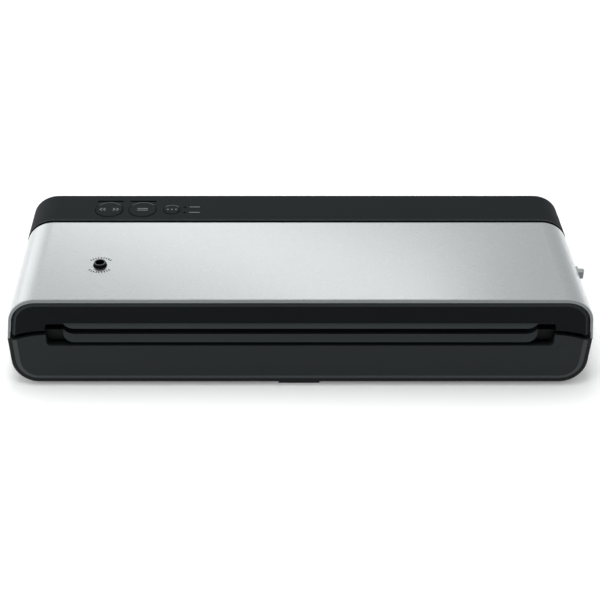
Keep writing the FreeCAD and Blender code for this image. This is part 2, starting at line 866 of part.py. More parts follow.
def prism(name, loops, z):
    """An upright solid from one outer loop and any inner loops."""
    sketch = doc.addObject("Sketcher::SketchObject", f"{name}_sketch")
    for loop in loops:
        outline(sketch, loop)
    sketch.setExpression("Placement.Base.z", z[0].formula)
    solid = doc.addObject("Part::Extrusion", name)
    solid.Base = sketch
    solid.DirMode = "Custom"
    solid.Dir = FreeCAD.Vector(0, 0, 1)
    solid.setExpression("LengthFwd", (z[1] - z[0]).formula)
    solid.Solid = True
    return solid


def ring(name, gap, z):
    """A flat ring around the chamber, as wide as the gasket and a gap on both sides."""
    inner_x = trough_half + d.gasket_margin - gap
    inner_y = d.trough_width / 2 + d.gasket_margin - gap
    wide = d.gasket_width + gap * 2
    radius = d.gasket_radius - gap
    outer_x = inner_x + wide
    outer_y = inner_y + wide
    outer = rounded((-outer_x, outer_x), (chamber_y - outer_y, chamber_y + outer_y), radius + wide)
    inner = rounded((-inner_x, inner_x), (chamber_y - inner_y, chamber_y + inner_y), radius)
    return prism(name, [outer, inner], z)


tray_cuts.append(ring("tray_gasket_groove", d.fit_gap, (lid_under - d.fit_gap, groove_top)))
node(cut("lid_tray", fuse("lid_tray_solid", *tray_solids), *tray_cuts), "lid_tray")

# Soft parts of the lid: the upper gasket and the silicone strip that presses the bag on the seal bar.
node(ring("upper_gasket", zero, (groove_top - d.gasket_height, groove_top)), "upper_gasket")
strip_z = (groove_top - d.strip_height - d.gasket_groove, groove_top)
node(block("pressure_strip", (-bar_half, bar_half), strip_span, strip_z), "pressure_strip")

# Accessory port: a turned nipple through the lid, open to the chamber below.
port = new_body("accessory_port")
port_top = top + d.port_height
port_foot = lid_floor_top + d.port_foot_height
revolve(port, "turning", [
    (d.port_duct_diameter / 2, lid_under - d.fit_gap),
    (d.port_spigot_diameter / 2, lid_under - d.fit_gap),
    (d.port_spigot_diameter / 2, lid_floor_top),
    (d.port_foot_diameter / 2, lid_floor_top),
    (d.port_foot_diameter / 2, port_foot),
    (d.port_neck_diameter / 2, port_foot),
    (d.port_neck_diameter / 2, top),
    (d.port_base_diameter / 2, top),
    (d.port_rim_diameter / 2, port_top),
    (d.port_bore_diameter / 2, port_top),
    (d.port_bore_diameter / 2, port_top - d.port_bore_depth),
    (d.port_duct_diameter / 2, port_top - d.port_bore_depth),
])
place(port, -port_x, chamber_y, 0)
node(port, "accessory_port")

# Hinge pins, pressed into the lid's lugs and turning in the posts.
pins = []
for name, middle in zip(("left", "right"), both_sides(hinge_x)):
    pin_x = (middle - lug_outer, middle + lug_outer)
    pins.append(rod(f"hinge_pin_{name}", "x", hinge_y, hinge_z, pin_x, d.hinge_pin_diameter / 2))
node(group("hinge_pins", *pins), "hinge_pins")


def screw(name, x, y, z, length):
    """A screw that points up, its head below z."""
    head = rod(f"{name}_head", "z", x, y, (z - d.screw_head_height, z), d.screw_head_diameter / 2)
    shank = rod(f"{name}_shank", "z", x, y, (z, z + length), d.screw_diameter / 2)
    return fuse(name, head, shank)


lid_screw_seat = lid_under + d.screw_head_height
lid_screw_length = d.lid_floor - d.screw_head_height + d.screw_grip
lid_screws = [
    screw(f"lid_screw_{index}", x, y, lid_screw_seat, lid_screw_length)
    for index, (x, y) in enumerate(lid_screw_spots)
]
node(group("lid_screws", *lid_screws), "lid_screws")

# Latch: a cross shaft in the lid, a hook at each end and the knob on the right.
knob_end = half - d.knob_hub_inset
shaft_left = -(hook_x + d.hook_width)
shaft_span = (shaft_left, knob_start + d.knob_socket_depth)
node(rod("latch_shaft", "x", latch_y, latch_z, shaft_span, d.latch_shaft_diameter / 2), "latch_shaft")
hooks = []
for name, middle in zip(("left", "right"), both_sides(hook_x)):
    hook_span = (middle - d.hook_width / 2, middle + d.hook_width / 2)
    arm_half = d.hook_width / 2
    foot = (-hook_reach, d.hook_nose_height - hook_reach)
    solid = fuse(
        f"hook_{name}_solid",
        rod(f"hook_{name}_hub", "x", 0, 0, hook_span, d.hook_hub_diameter / 2),
        block(f"hook_{name}_arm", hook_span, (-arm_half, arm_half), (-hook_reach, 0)),
        block(f"hook_{name}_nose", hook_span, (arm_half, arm_half + d.hook_nose_length), foot),
    )
    bore = rod(f"hook_{name}_bore", "x", 0, 0, hook_span, d.latch_shaft_diameter / 2)
    hooks.append(cut(f"hook_{name}", solid, bore))
latch_hooks = group("latch_hooks", *hooks)
lean = FreeCAD.Rotation(FreeCAD.Vector(-1, 0, 0), d.latch_swing.number)
latch_hooks.Placement = FreeCAD.Placement(FreeCAD.Vector(), lean)
place(latch_hooks, 0, latch_y, latch_z)
node(latch_hooks, "latch_hooks")
knob = new_body("latch_knob")
hub_sketch = side_sketch(knob, "hub", knob_start)
circle(hub_sketch, 0, 0, d.knob_hub_diameter / 2)
pad(knob, "hub", hub_sketch, d.knob_hub_length)
fin_sketch = side_sketch(knob, "fin", knob_end)
fin_half = d.knob_fin_width / 2
fin_tall = d.knob_fin_height / 2
outline(fin_sketch, rounded((-fin_half, fin_half), (-fin_tall, fin_tall), d.knob_fin_radius))
knob_tip = half + d.knob_reach
pad(knob, "fin", fin_sketch, knob_tip - knob_end)
dress(
    knob, "Fillet", "tip",
    lambda edge: near(edge.BoundBox.XMin, knob_tip) and near(edge.BoundBox.XMax, knob_tip),
    Radius=d.knob_tip_radius,
)
socket_sketch = side_sketch(knob, "socket", knob_start)
circle(socket_sketch, 0, 0, d.latch_shaft_diameter / 2)
pocket(knob, "socket", socket_sketch, d.knob_socket_depth, back=True)
place(knob, 0, latch_y, latch_z)
node(knob, "latch_knob")

# Base tub: dark, raked in front, with a round keel and a mouth in its front wall.
base = new_body("base_tub")
side_low = half - d.side_draft
tub_front = front + d.panel_thickness
base_section = front_sketch(base, "section", tub_front)
outline(base_section, [
    (-half, base_edge),
    (-side_low, d.foot_height),
    (side_low, d.foot_height),
    (half, base_edge),
])
pad(base, "block", base_section, rear - tub_front, back=True)
dress(
    base, "Fillet", "keel",
    lambda edge: along_y(edge) and level(edge, d.foot_height),
    Radius=d.keel_corner_radius,
)
front_wall = d.waist_rake + d.shell_wall
base_inner = side_low - d.shell_wall
cavity_start = tub_front + front_wall
base_cavity = front_sketch(base, "cavity", cavity_start)
cavity_radius = d.keel_corner_radius - d.shell_wall
outline(base_cavity, cradle(base_inner, base_floor, base_edge + d.fit_gap, cavity_radius))
pocket(base, "cavity", base_cavity, rear - d.shell_wall - cavity_start)
base_mouth = front_sketch(base, "mouth", tub_front)
outline(base_mouth, cradle(mouth_half, mouth_sill, base_edge + d.fit_gap, d.mouth_corner_radius))
pocket(base, "mouth", base_mouth, front_wall)
tub_rake = d.waist_rake * (base_edge - d.foot_height) / (base_cheek - d.foot_height)
base_rake = side_sketch(base, "rake", half)
outline(base_rake, [
    (tub_front, d.foot_height),
    (tub_front + tub_rake, base_edge),
    (tub_front, base_edge),
])
pocket(base, "raked_front", base_rake, d.body_width)


def front_outline(edge, start, foot, skin):
    """Whether an edge is a bottom, keel or side edge of a raked front."""
    slope = d.waist_rake / (base_cheek - d.foot_height)
    reach = skin.number - 0.01
    for spot in edge.Vertexes:
        face_y = start + slope * (sized(spot.Z) - d.foot_height)
        if not near(spot.Y, face_y) or not (near(spot.Z, foot) or abs(spot.X) > reach):
            return False
    return True


dress(
    base, "Fillet", "front_edge",
    lambda edge: front_outline(edge, tub_front, d.foot_height, side_low),
    Radius=d.tub_edge_radius,
)
dress(
    base, "Fillet", "rear_edge",
    lambda edge: across_y(edge, rear) and not level(edge, base_edge),
    Radius=d.rear_edge_radius,
)
boss_foot = d.foot_height + d.shell_wall / 2
base_screw_spots = deck_screw_spots + housing_screw_spots
base_bosses = top_sketch(base, "bosses", boss_foot)
for x, y in base_screw_spots:
    circle(base_bosses, x, y, d.boss_diameter / 2)
pad(base, "bosses", base_bosses, d.boss_joint_height - boss_foot)
board_back = rear - d.shell_wall - d.power_board_set_back / 2
board_front = board_back - d.power_board_depth
board_left = d.power_board_inset - half
board_right = board_left + d.power_board_length
power_board_spots = [
    (x, y)
    for x in (board_left + d.board_screw_inset, board_right - d.board_screw_inset)
    for y in (board_front + d.board_screw_inset, board_back - d.board_screw_inset)
]
power_board_z = base_floor + d.power_board_stand
standoffs = top_sketch(base, "standoffs", boss_foot)
for x, y in power_board_spots:
    circle(standoffs, x, y, d.standoff_diameter / 2)
pad(base, "standoffs", standoffs, power_board_z - boss_foot)
standoff_holes = top_sketch(base, "standoff_holes", power_board_z)
for x, y in power_board_spots:
    circle(standoff_holes, x, y, d.screw_diameter / 2)
pocket(base, "standoff_holes", standoff_holes, d.power_board_stand)
shank_holes = top_sketch(base, "shank_holes", d.foot_height)
head_holes = top_sketch(base, "head_holes", d.foot_height)
for x, y in base_screw_spots:
    circle(shank_holes, x, y, d.screw_diameter / 2 + d.fit_gap)
    circle(head_holes, x, y, d.screw_head_diameter / 2 + d.fit_gap)
pocket(base, "shank_holes", shank_holes, d.boss_joint_height - d.foot_height, back=True)
pocket(base, "head_holes", head_holes, d.screw_sink, back=True)
gland_hole = front_sketch(base, "gland_hole", rear)
circle(gland_hole, -gland_x, d.gland_height, d.gland_neck_diameter / 2)
pocket(base, "gland_hole", gland_hole, d.shell_wall, back=True)
# The tub is parted above the mains inlet, into a pan that carries everything and the walls on it.
pan_top = d.gland_height + d.gland_flange_diameter / 2 + d.pan_margin
below = block("below_parting", both_sides(half), (front, rear), (zero, pan_top))
node(common("base_pan", base, below), "base_pan")
node(cut("base_housing", base, below), "base_housing")

# Base front panel: a bevelled plate on the tub's front, with raised cheeks beside the mouth.
panel = new_body("base_fascia")
plate_foot = d.foot_height + d.panel_rise
plate_half = half - d.panel_inset
plate_low = plate_half - d.side_draft
plate_room = d.panel_thickness + d.waist_rake
plate_section = front_sketch(panel, "section", front)
outline(plate_section, [
    (-plate_half, base_cheek),
    (-plate_low, plate_foot),
    (plate_low, plate_foot),
    (plate_half, base_cheek),
])
pad(panel, "block", plate_section, plate_room, back=True)
dress(
    panel, "Fillet", "keel",
    lambda edge: along_y(edge) and level(edge, plate_foot),
    Radius=d.panel_corner_radius,
)
plate_clear = base_cheek + d.fit_gap
for name, side, bend in (("left", -1, "left"), ("right", 1, "right")):
    cheek = front_sketch(panel, f"{name}_cheek", front)
    outline(cheek, [
        (mouth_half * side, plate_clear),
        (mouth_half * side, base_cheek),
        (half * side, base_shoulder, d.cheek_arc_radius, bend),
        (half * side, plate_clear),
    ])
    pocket(panel, f"{name}_cheek", cheek, plate_room)
plate_mouth = front_sketch(panel, "mouth", front)
outline(plate_mouth, cradle(mouth_half, mouth_sill, plate_clear, d.mouth_corner_radius))
pocket(panel, "mouth", plate_mouth, plate_room)
plate_rake = side_sketch(panel, "rake", half)
outline(plate_rake, [
    (front, d.foot_height),
    (front + d.waist_rake, base_cheek),
    (front, base_cheek),
])
pocket(panel, "raked_front", plate_rake, d.body_width)
plate_back = side_sketch(panel, "back", half)
outline(plate_back, [
    (tub_front, d.foot_height),
    (tub_front + d.waist_rake, d.foot_height),
    (tub_front + d.waist_rake, base_cheek),
])
pocket(panel, "raked_back", plate_back, d.body_width)
dress(
    panel, "Chamfer", "bevel",
    lambda edge: front_outline(edge, front, plate_foot, plate_low),
    Size=d.panel_bevel_depth, Size2=d.panel_bevel_width,
)
node(panel, "base_fascia")

# Control housing: the fixed dark strip behind the lid, open below, with holes for buttons and lamps.
housing = new_body("control_housing")
housing_section = front_sketch(housing, "section", control_front)
outline(housing_section, hood(half, base_edge, top, corner_radius))
pad(housing, "block", housing_section, d.control_depth, back=True)
housing_start = control_front + d.shell_wall
housing_cavity = front_sketch(housing, "cavity", housing_start)
housing_under = top - d.shell_wall
cavity_low = base_edge - d.fit_gap
housing_radius = corner_radius - d.shell_wall
outline(housing_cavity, hood(half - d.shell_wall, cavity_low, housing_under, housing_radius))
pocket(housing, "cavity", housing_cavity, d.control_depth - d.shell_wall * 2)


def housing_front_edge(edge):
    skin = on_outside(edge, half, top)
    return across_y(edge, control_front) and skin and not level(edge, base_edge)


def housing_rear_edge(edge):
    return across_y(edge, rear) and on_outside(edge, half, top) and not level(edge, base_edge)


dress(housing, "Fillet", "front_edge", housing_front_edge, Radius=d.control_edge_radius)
dress(housing, "Fillet", "rear_edge", housing_rear_edge, Radius=d.rear_edge_radius)
buttons = [
    ("vacuum_button", -vacuum_x, d.large_button_diameter),
    ("seal_button", -seal_x, d.large_button_diameter),
    ("mode_button", -mode_x, d.small_button_diameter),
]
button_holes = top_sketch(housing, "button_holes", top)
for name, x, width in buttons:
    circle(button_holes, x, button_y, width / 2 + d.button_gap)
pocket(housing, "button_holes", button_holes, d.shell_wall)
dress(
    housing, "Chamfer", "hole_bevels",
    lambda edge: level(edge, top) and isinstance(edge.Curve, Part.Circle),
    Size=d.hole_bevel,
)
window_y = rear - d.window_set_back
window_span = (window_y - d.window_width / 2, window_y + d.window_width / 2)
windows = [
    rounded((x - d.window_length / 2, x + d.window_length / 2), window_span, d.window_corner)
    for x in (-vacuum_x, -seal_x)
]
lamp_x = mode_x - d.lamp_offset
lamp_spots = [(-lamp_x, button_y - d.lamp_pitch / 2), (-lamp_x, button_y + d.lamp_pitch / 2)]
window_holes = top_sketch(housing, "window_holes", top)
for window in windows:
    outline(window_holes, window)
for x, y in lamp_spots:
    circle(window_holes, x, y, d.lamp_diameter / 2)
pocket(housing, "window_holes", window_holes, d.shell_wall)
housing_posts = top_sketch(housing, "posts", d.boss_joint_height)
housing_pilots = top_sketch(housing, "pilots", d.boss_joint_height)
for x, y in housing_screw_spots:
    circle(housing_posts, x, y, d.post_diameter / 2)
    circle(housing_pilots, x, y, d.screw_diameter / 2)
pad(housing, "posts", housing_posts, housing_under - d.boss_joint_height)
pocket(housing, "pilots", housing_pilots, d.screw_grip + d.fit_gap, back=True)
panel_top = top - d.control_board_drop
panel_under = panel_top - d.board_thickness
panel_left = -(vacuum_x + d.control_board_margin)
panel_x = (panel_left, panel_left + d.control_board_length)
panel_y = (housing_start + d.control_board_inset, rear - d.shell_wall - d.control_board_inset)
panel_spots = [
    (x, y)
    for x in (panel_x[0] + d.board_screw_inset, panel_x[1] - d.board_screw_inset)
    for y in (panel_y[0] + d.board_screw_inset, panel_y[1] - d.board_screw_inset)
]
panel_bosses = top_sketch(housing, "board_bosses", panel_top)
panel_pilots = top_sketch(housing, "board_pilots", panel_top)
for x, y in panel_spots:
    circle(panel_bosses, x, y, d.standoff_diameter / 2)
    circle(panel_pilots, x, y, d.screw_diameter / 2)
pad(housing, "board_bosses", panel_bosses, housing_under - panel_top)
pocket(housing, "board_pilots", panel_pilots, d.power_board_stand, back=True)
node(housing, "control_housing")

# Push buttons: turned caps held under the panel by a flange, each with a stem over its switch.
switch_top = panel_top + d.switch_height + d.switch_button_height
stem_foot = switch_top + d.button_travel + d.stem_gap
flange_top = housing_under - d.move_gap
flange_foot = flange_top - d.button_flange_height
cap_top = top + d.button_proud
for name, x, width in buttons:
    cap = new_body(name)
    rim = width / 2
    revolve(cap, "turning", [
        (zero, stem_foot),
        (d.button_stem_diameter / 2, stem_foot),
        (d.button_stem_diameter / 2, flange_foot),
        (rim + d.button_flange_width, flange_foot),
        (rim + d.button_flange_width, flange_top),
        (rim, flange_top),
        (rim, cap_top - d.button_edge),
        (rim - d.button_edge, cap_top),
        (zero, cap_top),
    ])
    place(cap, x, button_y, 0)
    node(cap, name)

# Lamp windows: two smoked bars and two dots, just below the panel's face.
lens_top = top - d.lens_sink
panes = [
    prism(f"window_{index}", [window], (housing_under, lens_top))
    for index, window in enumerate(windows)
]
panes += [
    rod(f"lamp_window_{index}", "z", x, y, (housing_under, lens_top), d.lamp_diameter / 2)
    for index, (x, y) in enumerate(lamp_spots)
]
node(group("lamp_windows", *panes), "lamp_windows")

# Control board with a switch under each button and a lamp under each window.
board_holes = [
    rod(f"panel_hole_{index}", "z", x, y, (panel_under, panel_top), d.screw_diameter / 2)
    for index, (x, y) in enumerate(panel_spots)
]
panel_plate = block("panel_plate", panel_x, panel_y, (panel_under, panel_top))
node(cut("control_board", panel_plate, *board_holes), "control_board")
switches = []
for name, x, width in buttons:
    reach = d.switch_size / 2
    body_z = (panel_top, panel_top + d.switch_height)
    case = block(f"{name}_switch_case", (x - reach, x + reach), (button_y - reach, button_y + reach), body_z)
    nub = rod(f"{name}_switch_nub", "z", x, button_y, (body_z[1], switch_top), d.switch_button_diameter / 2)
    switches.append(fuse(f"{name}_switch", case, nub))
node(group("tact_switches", *switches), "tact_switches")
lamp_z = (panel_top, panel_top + d.lamp_body_height)
lamp_at = [(-vacuum_x, window_y), (-seal_x, window_y)] + lamp_spots
lamps = [
    rod(f"lamp_{index}", "z", x, y, lamp_z, d.lamp_diameter / 2)
    for index, (x, y) in enumerate(lamp_at)
]
node(group("indicator_lamps", *lamps), "indicator_lamps")

# Power board on standoffs with its transformer and capacitors.
power_z = (power_board_z, power_board_z + d.board_thickness)
power_plate = block("power_plate", (board_left, board_right), (board_front, board_back), power_z)
power_holes = [
    rod(f"power_hole_{index}", "z", x, y, power_z, d.screw_diameter / 2)
    for index, (x, y) in enumerate(power_board_spots)
]
node(cut("power_board", power_plate, *power_holes), "power_board")
board_y = (board_front + board_back) / 2
coil_x = board_right - d.board_screw_inset * 2 - d.transformer_length / 2
coil_y = (board_y - d.transformer_width / 2, board_y + d.transformer_width / 2)
coil_z = (power_z[1], power_z[1] + d.transformer_height)
coil_half = d.transformer_length / 2
core = block("core_block", (coil_x - coil_half, coil_x + coil_half), coil_y, coil_z)
leg_half = coil_half - d.core_wall
window_z = (coil_z[0] + d.core_wall, coil_z[1] - d.core_wall)
core_window = block("core_window", (coil_x - leg_half, coil_x + leg_half), coil_y, window_z)
node(cut("transformer_core", core, core_window), "transformer_core")
coil = block("coil", (coil_x - leg_half, coil_x + leg_half), coil_y, window_z)
node(coil, "transformer_coil")
can_x = board_left + d.board_screw_inset * 2 + d.capacitor_diameter / 2
can_z = (power_z[1], power_z[1] + d.capacitor_height)
cans = [
    rod(f"capacitor_{index}", "z", x, board_y, can_z, d.capacitor_diameter / 2)
    for index, x in enumerate((can_x, can_x + d.capacitor_pitch))
]
node(group("capacitors", *cans), "capacitors")
board_screws = []
for index, (x, y) in enumerate(power_board_spots):
    head_z = (power_z[1], power_z[1] + d.screw_head_height)
    head = rod(f"power_screw_{index}_head", "z", x, y, head_z, d.screw_head_diameter / 2)
    shank_z = (power_board_z - d.power_board_stand + d.fit_gap, power_z[1])
    shank = rod(f"power_screw_{index}_shank", "z", x, y, shank_z, d.screw_diameter / 2)
    board_screws.append(fuse(f"power_screw_{index}", head, shank))
for index, (x, y) in enumerate(panel_spots):
    length = d.board_thickness + d.power_board_stand - d.fit_gap
    board_screws.append(screw(f"panel_screw_{index}", x, y, panel_under, length))
node(group("board_screws", *board_screws), "board_screws")

# Deck: the raised floor under the lid, with the gasket groove, the latch strikes and a hole over the trough.
deck_half = half - d.deck_side_inset
deck_front = front + d.deck_set_back
deck_y = (deck_front, control_front - d.fit_gap)
flange_z = base_edge - d.deck_flange_drop
trough_deep = d.trough_width / 2
trough_y = (chamber_y - trough_deep, chamber_y + trough_deep)
shell_y = (trough_y[0] - d.trough_wall, trough_y[1] + d.trough_wall)
shell_x = (-(trough_half + d.trough_wall), trough_half + d.trough_wall)
shell_radius = d.trough_radius + d.trough_wall
trough_hollow = prism(
    "trough_hollow", [rounded(both_sides(trough_half), trough_y, d.trough_radius)],
    (trough_floor, d.slot_floor_height + d.fit_gap),
)
deck_solids = [
    block("deck_plate_block", (-deck_half, deck_half), deck_y, (deck_under, d.slot_floor_height)),
    block("deck_front_skirt", (-deck_half, deck_half), (deck_front, deck_front + d.deck_skirt),
          (flange_z, deck_under)),
]
flange_half = base_inner - d.fit_gap
for name, side in (("left", -1), ("right", 1)):
    skirt = sorted(((deck_half - d.deck_skirt) * side, deck_half * side), key=lambda size: size.number)
    wing = sorted(((deck_half - d.deck_skirt) * side, flange_half * side), key=lambda size: size.number)
    deck_solids.append(block(f"deck_skirt_{name}", skirt, deck_y, (flange_z, deck_under)))
    deck_solids.append(block(f"deck_wing_{name}", wing, deck_y, (flange_z - d.deck_skirt, flange_z)))
deck_cuts = [
    trough_hollow,
    ring("deck_gasket_groove", d.fit_gap,
         (d.slot_floor_height - d.gasket_groove, d.slot_floor_height + d.fit_gap)),
    block("bar_groove", strip_reach, strip_room,
          (d.slot_floor_height - d.gasket_groove, d.slot_floor_height + d.fit_gap)),
]
for index, (x, y) in enumerate(deck_screw_spots):
    post_z = (d.boss_joint_height, deck_under)
    deck_solids.append(rod(f"deck_post_{index}", "z", x, y, post_z, d.post_diameter / 2))
    pilot_z = (d.boss_joint_height, d.boss_joint_height + d.screw_grip + d.fit_gap)
    deck_cuts.append(rod(f"deck_pilot_{index}", "z", x, y, pilot_z, d.screw_diameter / 2))
plate_cut = (deck_under - d.fit_gap, d.slot_floor_height + d.fit_gap)
for name, middle in zip(("left", "right"), both_sides(hook_x)):
    slot_x = (middle - hook_room, middle + hook_room)
    slot_y = (latch_y - d.strike_slot_front, latch_y + d.hook_width / 2 + d.strike_slot_gap)
    deck_cuts.append(block(f"strike_slot_{name}", slot_x, slot_y, plate_cut))
post_half = d.hinge_post_width / 2
for name, middle in zip(("left", "right"), both_sides(hinge_x)):
    deck_cuts.append(block(f"post_hole_{name}", (middle - post_half, middle + post_half), lug_y, plate_cut))
node(cut("deck", fuse("deck_solid", *deck_solids), *deck_cuts), "deck")

# Vacuum trough: the open box under the deck's hole, with the barb that takes the pump's hose.
barb_y = (chamber_y + trough_deep, shell_y[1] + d.barb_length)
trough_shell = prism(
    "trough_shell", [rounded(shell_x, shell_y, shell_radius)], (trough_floor - d.trough_wall, deck_under),
)
trough_barb = rod("trough_barb", "y", d.hose_x, hose_z, barb_y, d.hose_bore / 2)
barb_bore = rod("barb_bore", "y", d.hose_x, hose_z, (chamber_y, barb_y[1]), d.barb_bore / 2)
trough_solid = fuse("trough_solid", trough_shell, trough_barb)
node(cut("vacuum_trough", trough_solid, trough_hollow, barb_bore), "vacuum_trough")

# Lower lip of the mouth: the ledge, and the upturned guide on each end of it.
ledge = new_body("ledge_and_guides")
ledge_front = front + d.ledge_set_back
horn_top = d.slot_floor_height + d.curl_rise
round_end = d.ledge_corner_radius
ledge_section = front_sketch(ledge, "section", ledge_front)
outline(ledge_section, [
    (-lip_half, horn_top, d.curl_radius, "right"),
    (-lip_half, ledge_foot + round_end),
    (round_end - lip_half, ledge_foot, round_end, "left"),
    (lip_half - round_end, ledge_foot),
    (lip_half, ledge_foot + round_end, round_end, "left"),
    (lip_half, horn_top),
    (lip_flat, d.slot_floor_height, d.curl_radius, "right"),
    (-lip_flat, d.slot_floor_height),
])
pad(ledge, "block", ledge_section, deck_front - ledge_front, back=True)
ledge_face = side_sketch(ledge, "face", lip_half)
outline(ledge_face, [
    (ledge_front, ledge_foot),
    (ledge_front + d.ledge_lean, horn_top),
    (ledge_front, horn_top),
])
pocket(ledge, "face", ledge_face, lip_half * 2)
guide_start = lip_flat + d.guide_lead
guide_room = ((ledge_front, deck_front), (ledge_foot, horn_top))
left_end = block("left_end", (-lip_half, -guide_start), *guide_room)
right_end = block("right_end", (guide_start, lip_half), *guide_room)
ends = group("ledge_ends", left_end, right_end)
node(cut("bag_ledge", ledge, ends), "bag_ledge")
node(common("bag_guides", ledge, ends), "bag_guides")

# Drip tray: a loose liner in the trough, with a hole in front of the suction barb.
drip = new_body("drip_tray")
liner_half = trough_half - d.fit_gap
liner_y = (trough_y[0] + d.fit_gap, trough_y[1] - d.fit_gap)
liner_radius = d.trough_radius - d.fit_gap
liner_top = d.slot_floor_height - d.tray_rim_drop
drip_block = top_sketch(drip, "block", trough_floor)
outline(drip_block, rounded(both_sides(liner_half), liner_y, liner_radius))
pad(drip, "block", drip_block, liner_top - trough_floor)
drip_hollow = top_sketch(drip, "hollow", liner_top)
well_half = liner_half - d.drip_tray_wall
well_y = (liner_y[0] + d.drip_tray_wall, liner_y[1] - d.drip_tray_wall)
outline(drip_hollow, rounded(both_sides(well_half), well_y, liner_radius - d.drip_tray_wall))
pocket(drip, "hollow", drip_hollow, liner_top - trough_floor - d.drip_tray_wall)
drip_hole = front_sketch(drip, "hole", liner_y[1])
circle(drip_hole, d.hose_x, hose_z, d.barb_bore / 2)
pocket(drip, "hole", drip_hole, d.drip_tray_wall, back=True)
node(drip, "drip_tray")

# Lower gasket, and the seal bar with its heating ribbon and release tape.
gasket_foot = d.slot_floor_height - d.gasket_groove
node(ring("lower_gasket", zero, (gasket_foot, gasket_foot + d.gasket_height)), "lower_gasket")
bar_x = (-bar_half, bar_half)
bar_top = gasket_foot + d.seal_bar_height
node(block("seal_bar", bar_x, strip_span, (gasket_foot, bar_top)), "seal_bar")
ribbon_y = (strip_y - d.ribbon_width / 2, strip_y + d.ribbon_width / 2)
ribbon_top = bar_top + d.ribbon_thickness
node(block("heater_ribbon", bar_x, ribbon_y, (bar_top, ribbon_top)), "heater_ribbon")
tape_y = (strip_y - d.tape_width / 2, strip_y + d.tape_width / 2)
node(block("release_tape", bar_x, tape_y, (ribbon_top, ribbon_top + d.tape_thickness)), "release_tape")

# Hinge posts: upright brackets through the deck, trapped below it by a wider foot.
posts = []
for name, middle in zip(("left", "right"), both_sides(hinge_x)):
    post_x = (middle - post_half, middle + post_half)
    foot_x = (middle - d.post_foot_width / 2, middle + d.post_foot_width / 2)
    foot_y = (hinge_y - d.post_foot_depth / 2, hinge_y + d.post_foot_depth / 2 - d.hinge_boss_radius)
    foot_z = (deck_under - d.post_foot_height, deck_under)
    solid = fuse(
        f"hinge_post_{name}_solid",
        block(f"hinge_post_{name}_web", post_x, lug_y, (foot_z[0], hinge_z)),
        rod(f"hinge_post_{name}_eye", "x", hinge_y, hinge_z, post_x, d.hinge_boss_radius),
        block(f"hinge_post_{name}_foot", foot_x, foot_y, foot_z),
    )
    bore = d.hinge_pin_diameter / 2 + d.running_gap
    post_bore = rod(f"post_bore_{name}", "x", hinge_y, hinge_z, post_x, bore)
    posts.append(cut(f"hinge_post_{name}", solid, post_bore))
node(group("hinge_posts", *posts), "hinge_posts")

# Lid switch behind the left hook, with its plunger.
switch_x = (-(hook_x + d.lid_switch_width / 2), d.lid_switch_width / 2 - hook_x)
switch_start = latch_y + d.lid_switch_offset
switch_y = (switch_start, switch_start + d.lid_switch_length)
switch_z = (deck_under - d.lid_switch_height, deck_under)
plunger_z = (switch_z[0] + switch_z[1]) / 2
grip_half = d.plunger_size / 2
plunger_start = switch_start - d.plunger_reach
plunger_end = plunger_start + d.plunger_length
well_side = grip_half + d.running_gap
plunger_well = block(
    "plunger_well", (-hook_x - well_side, well_side - hook_x),
    (switch_start, plunger_end + d.plunger_travel + d.fit_gap),
    (plunger_z - well_side, plunger_z + well_side),
)
node(cut("lid_switch", block("lid_switch_case", switch_x, switch_y, switch_z), plunger_well), "lid_switch")
plunger_x = (-hook_x - grip_half, grip_half - hook_x)
plunger_span = (plunger_z - grip_half, plunger_z + grip_half)
node(block("switch_plunger", plunger_x, (plunger_start, plunger_end), plunger_span), "switch_plunger")

# Pump: a motor in a cradle drives a crank in a case under a single upright cylinder.
axis_z = d.pump_axis_height
motor_end = d.motor_x + d.motor_length
shaft_start = motor_end - d.motor_bearing_depth
shaft_radius = d.motor_shaft_diameter / 2
motor_solid = fuse(
    "motor_solid",
    rod("motor_can", "x", pump_y, axis_z, (d.motor_x, motor_end), d.motor_diameter / 2),
    rod("motor_boss", "x", pump_y, axis_z, (motor_end, motor_end + d.case_wall), d.motor_boss_diameter / 2),
)
bearing_x = (shaft_start - d.fit_gap, motor_end + d.case_wall)
motor_bore = rod("motor_bore", "x", pump_y, axis_z, bearing_x, shaft_radius + d.running_gap)
node(cut("pump_motor", motor_solid, motor_bore), "pump_motor")
cradle_x = d.motor_x + d.motor_length / 2
saddle = block(
    "saddle_block", (cradle_x - d.cradle_length / 2, cradle_x + d.cradle_length / 2),
    (pump_y - d.cradle_width / 2, pump_y + d.cradle_width / 2),
    (base_floor, base_floor + d.cradle_height),
)
motor_room = rod("motor_room", "x", pump_y, axis_z, (d.motor_x, motor_end), d.motor_diameter / 2)
node(cut("motor_cradle", saddle, motor_room), "motor_cradle")
case_x = (motor_end, motor_end + d.case_length)
case_y = (pump_y - d.case_width / 2, pump_y + d.case_width / 2)
room_x = (case_x[0] + d.case_wall, case_x[1] - d.case_wall)
room_y = (case_y[0] + d.case_wall, case_y[1] - d.case_wall)
crank_case = cut(
    "pump_case",
    block("case_block", case_x, case_y, (base_floor, d.case_top_height)),
    block("case_room", room_x, room_y, (base_floor + d.case_floor, d.case_top_height)),
    rod("case_boss_hole", "x", pump_y, axis_z, (case_x[0], room_x[0]), d.motor_boss_diameter / 2),
)
node(crank_case, "pump_case")
crank_x = (room_x[0] + d.crank_room, room_x[0] + d.crank_room + d.crank_length)
wheel_x = (crank_x[1] + d.flywheel_gap, crank_x[1] + d.flywheel_gap + d.flywheel_length)
crank_z = axis_z - d.crank_throw
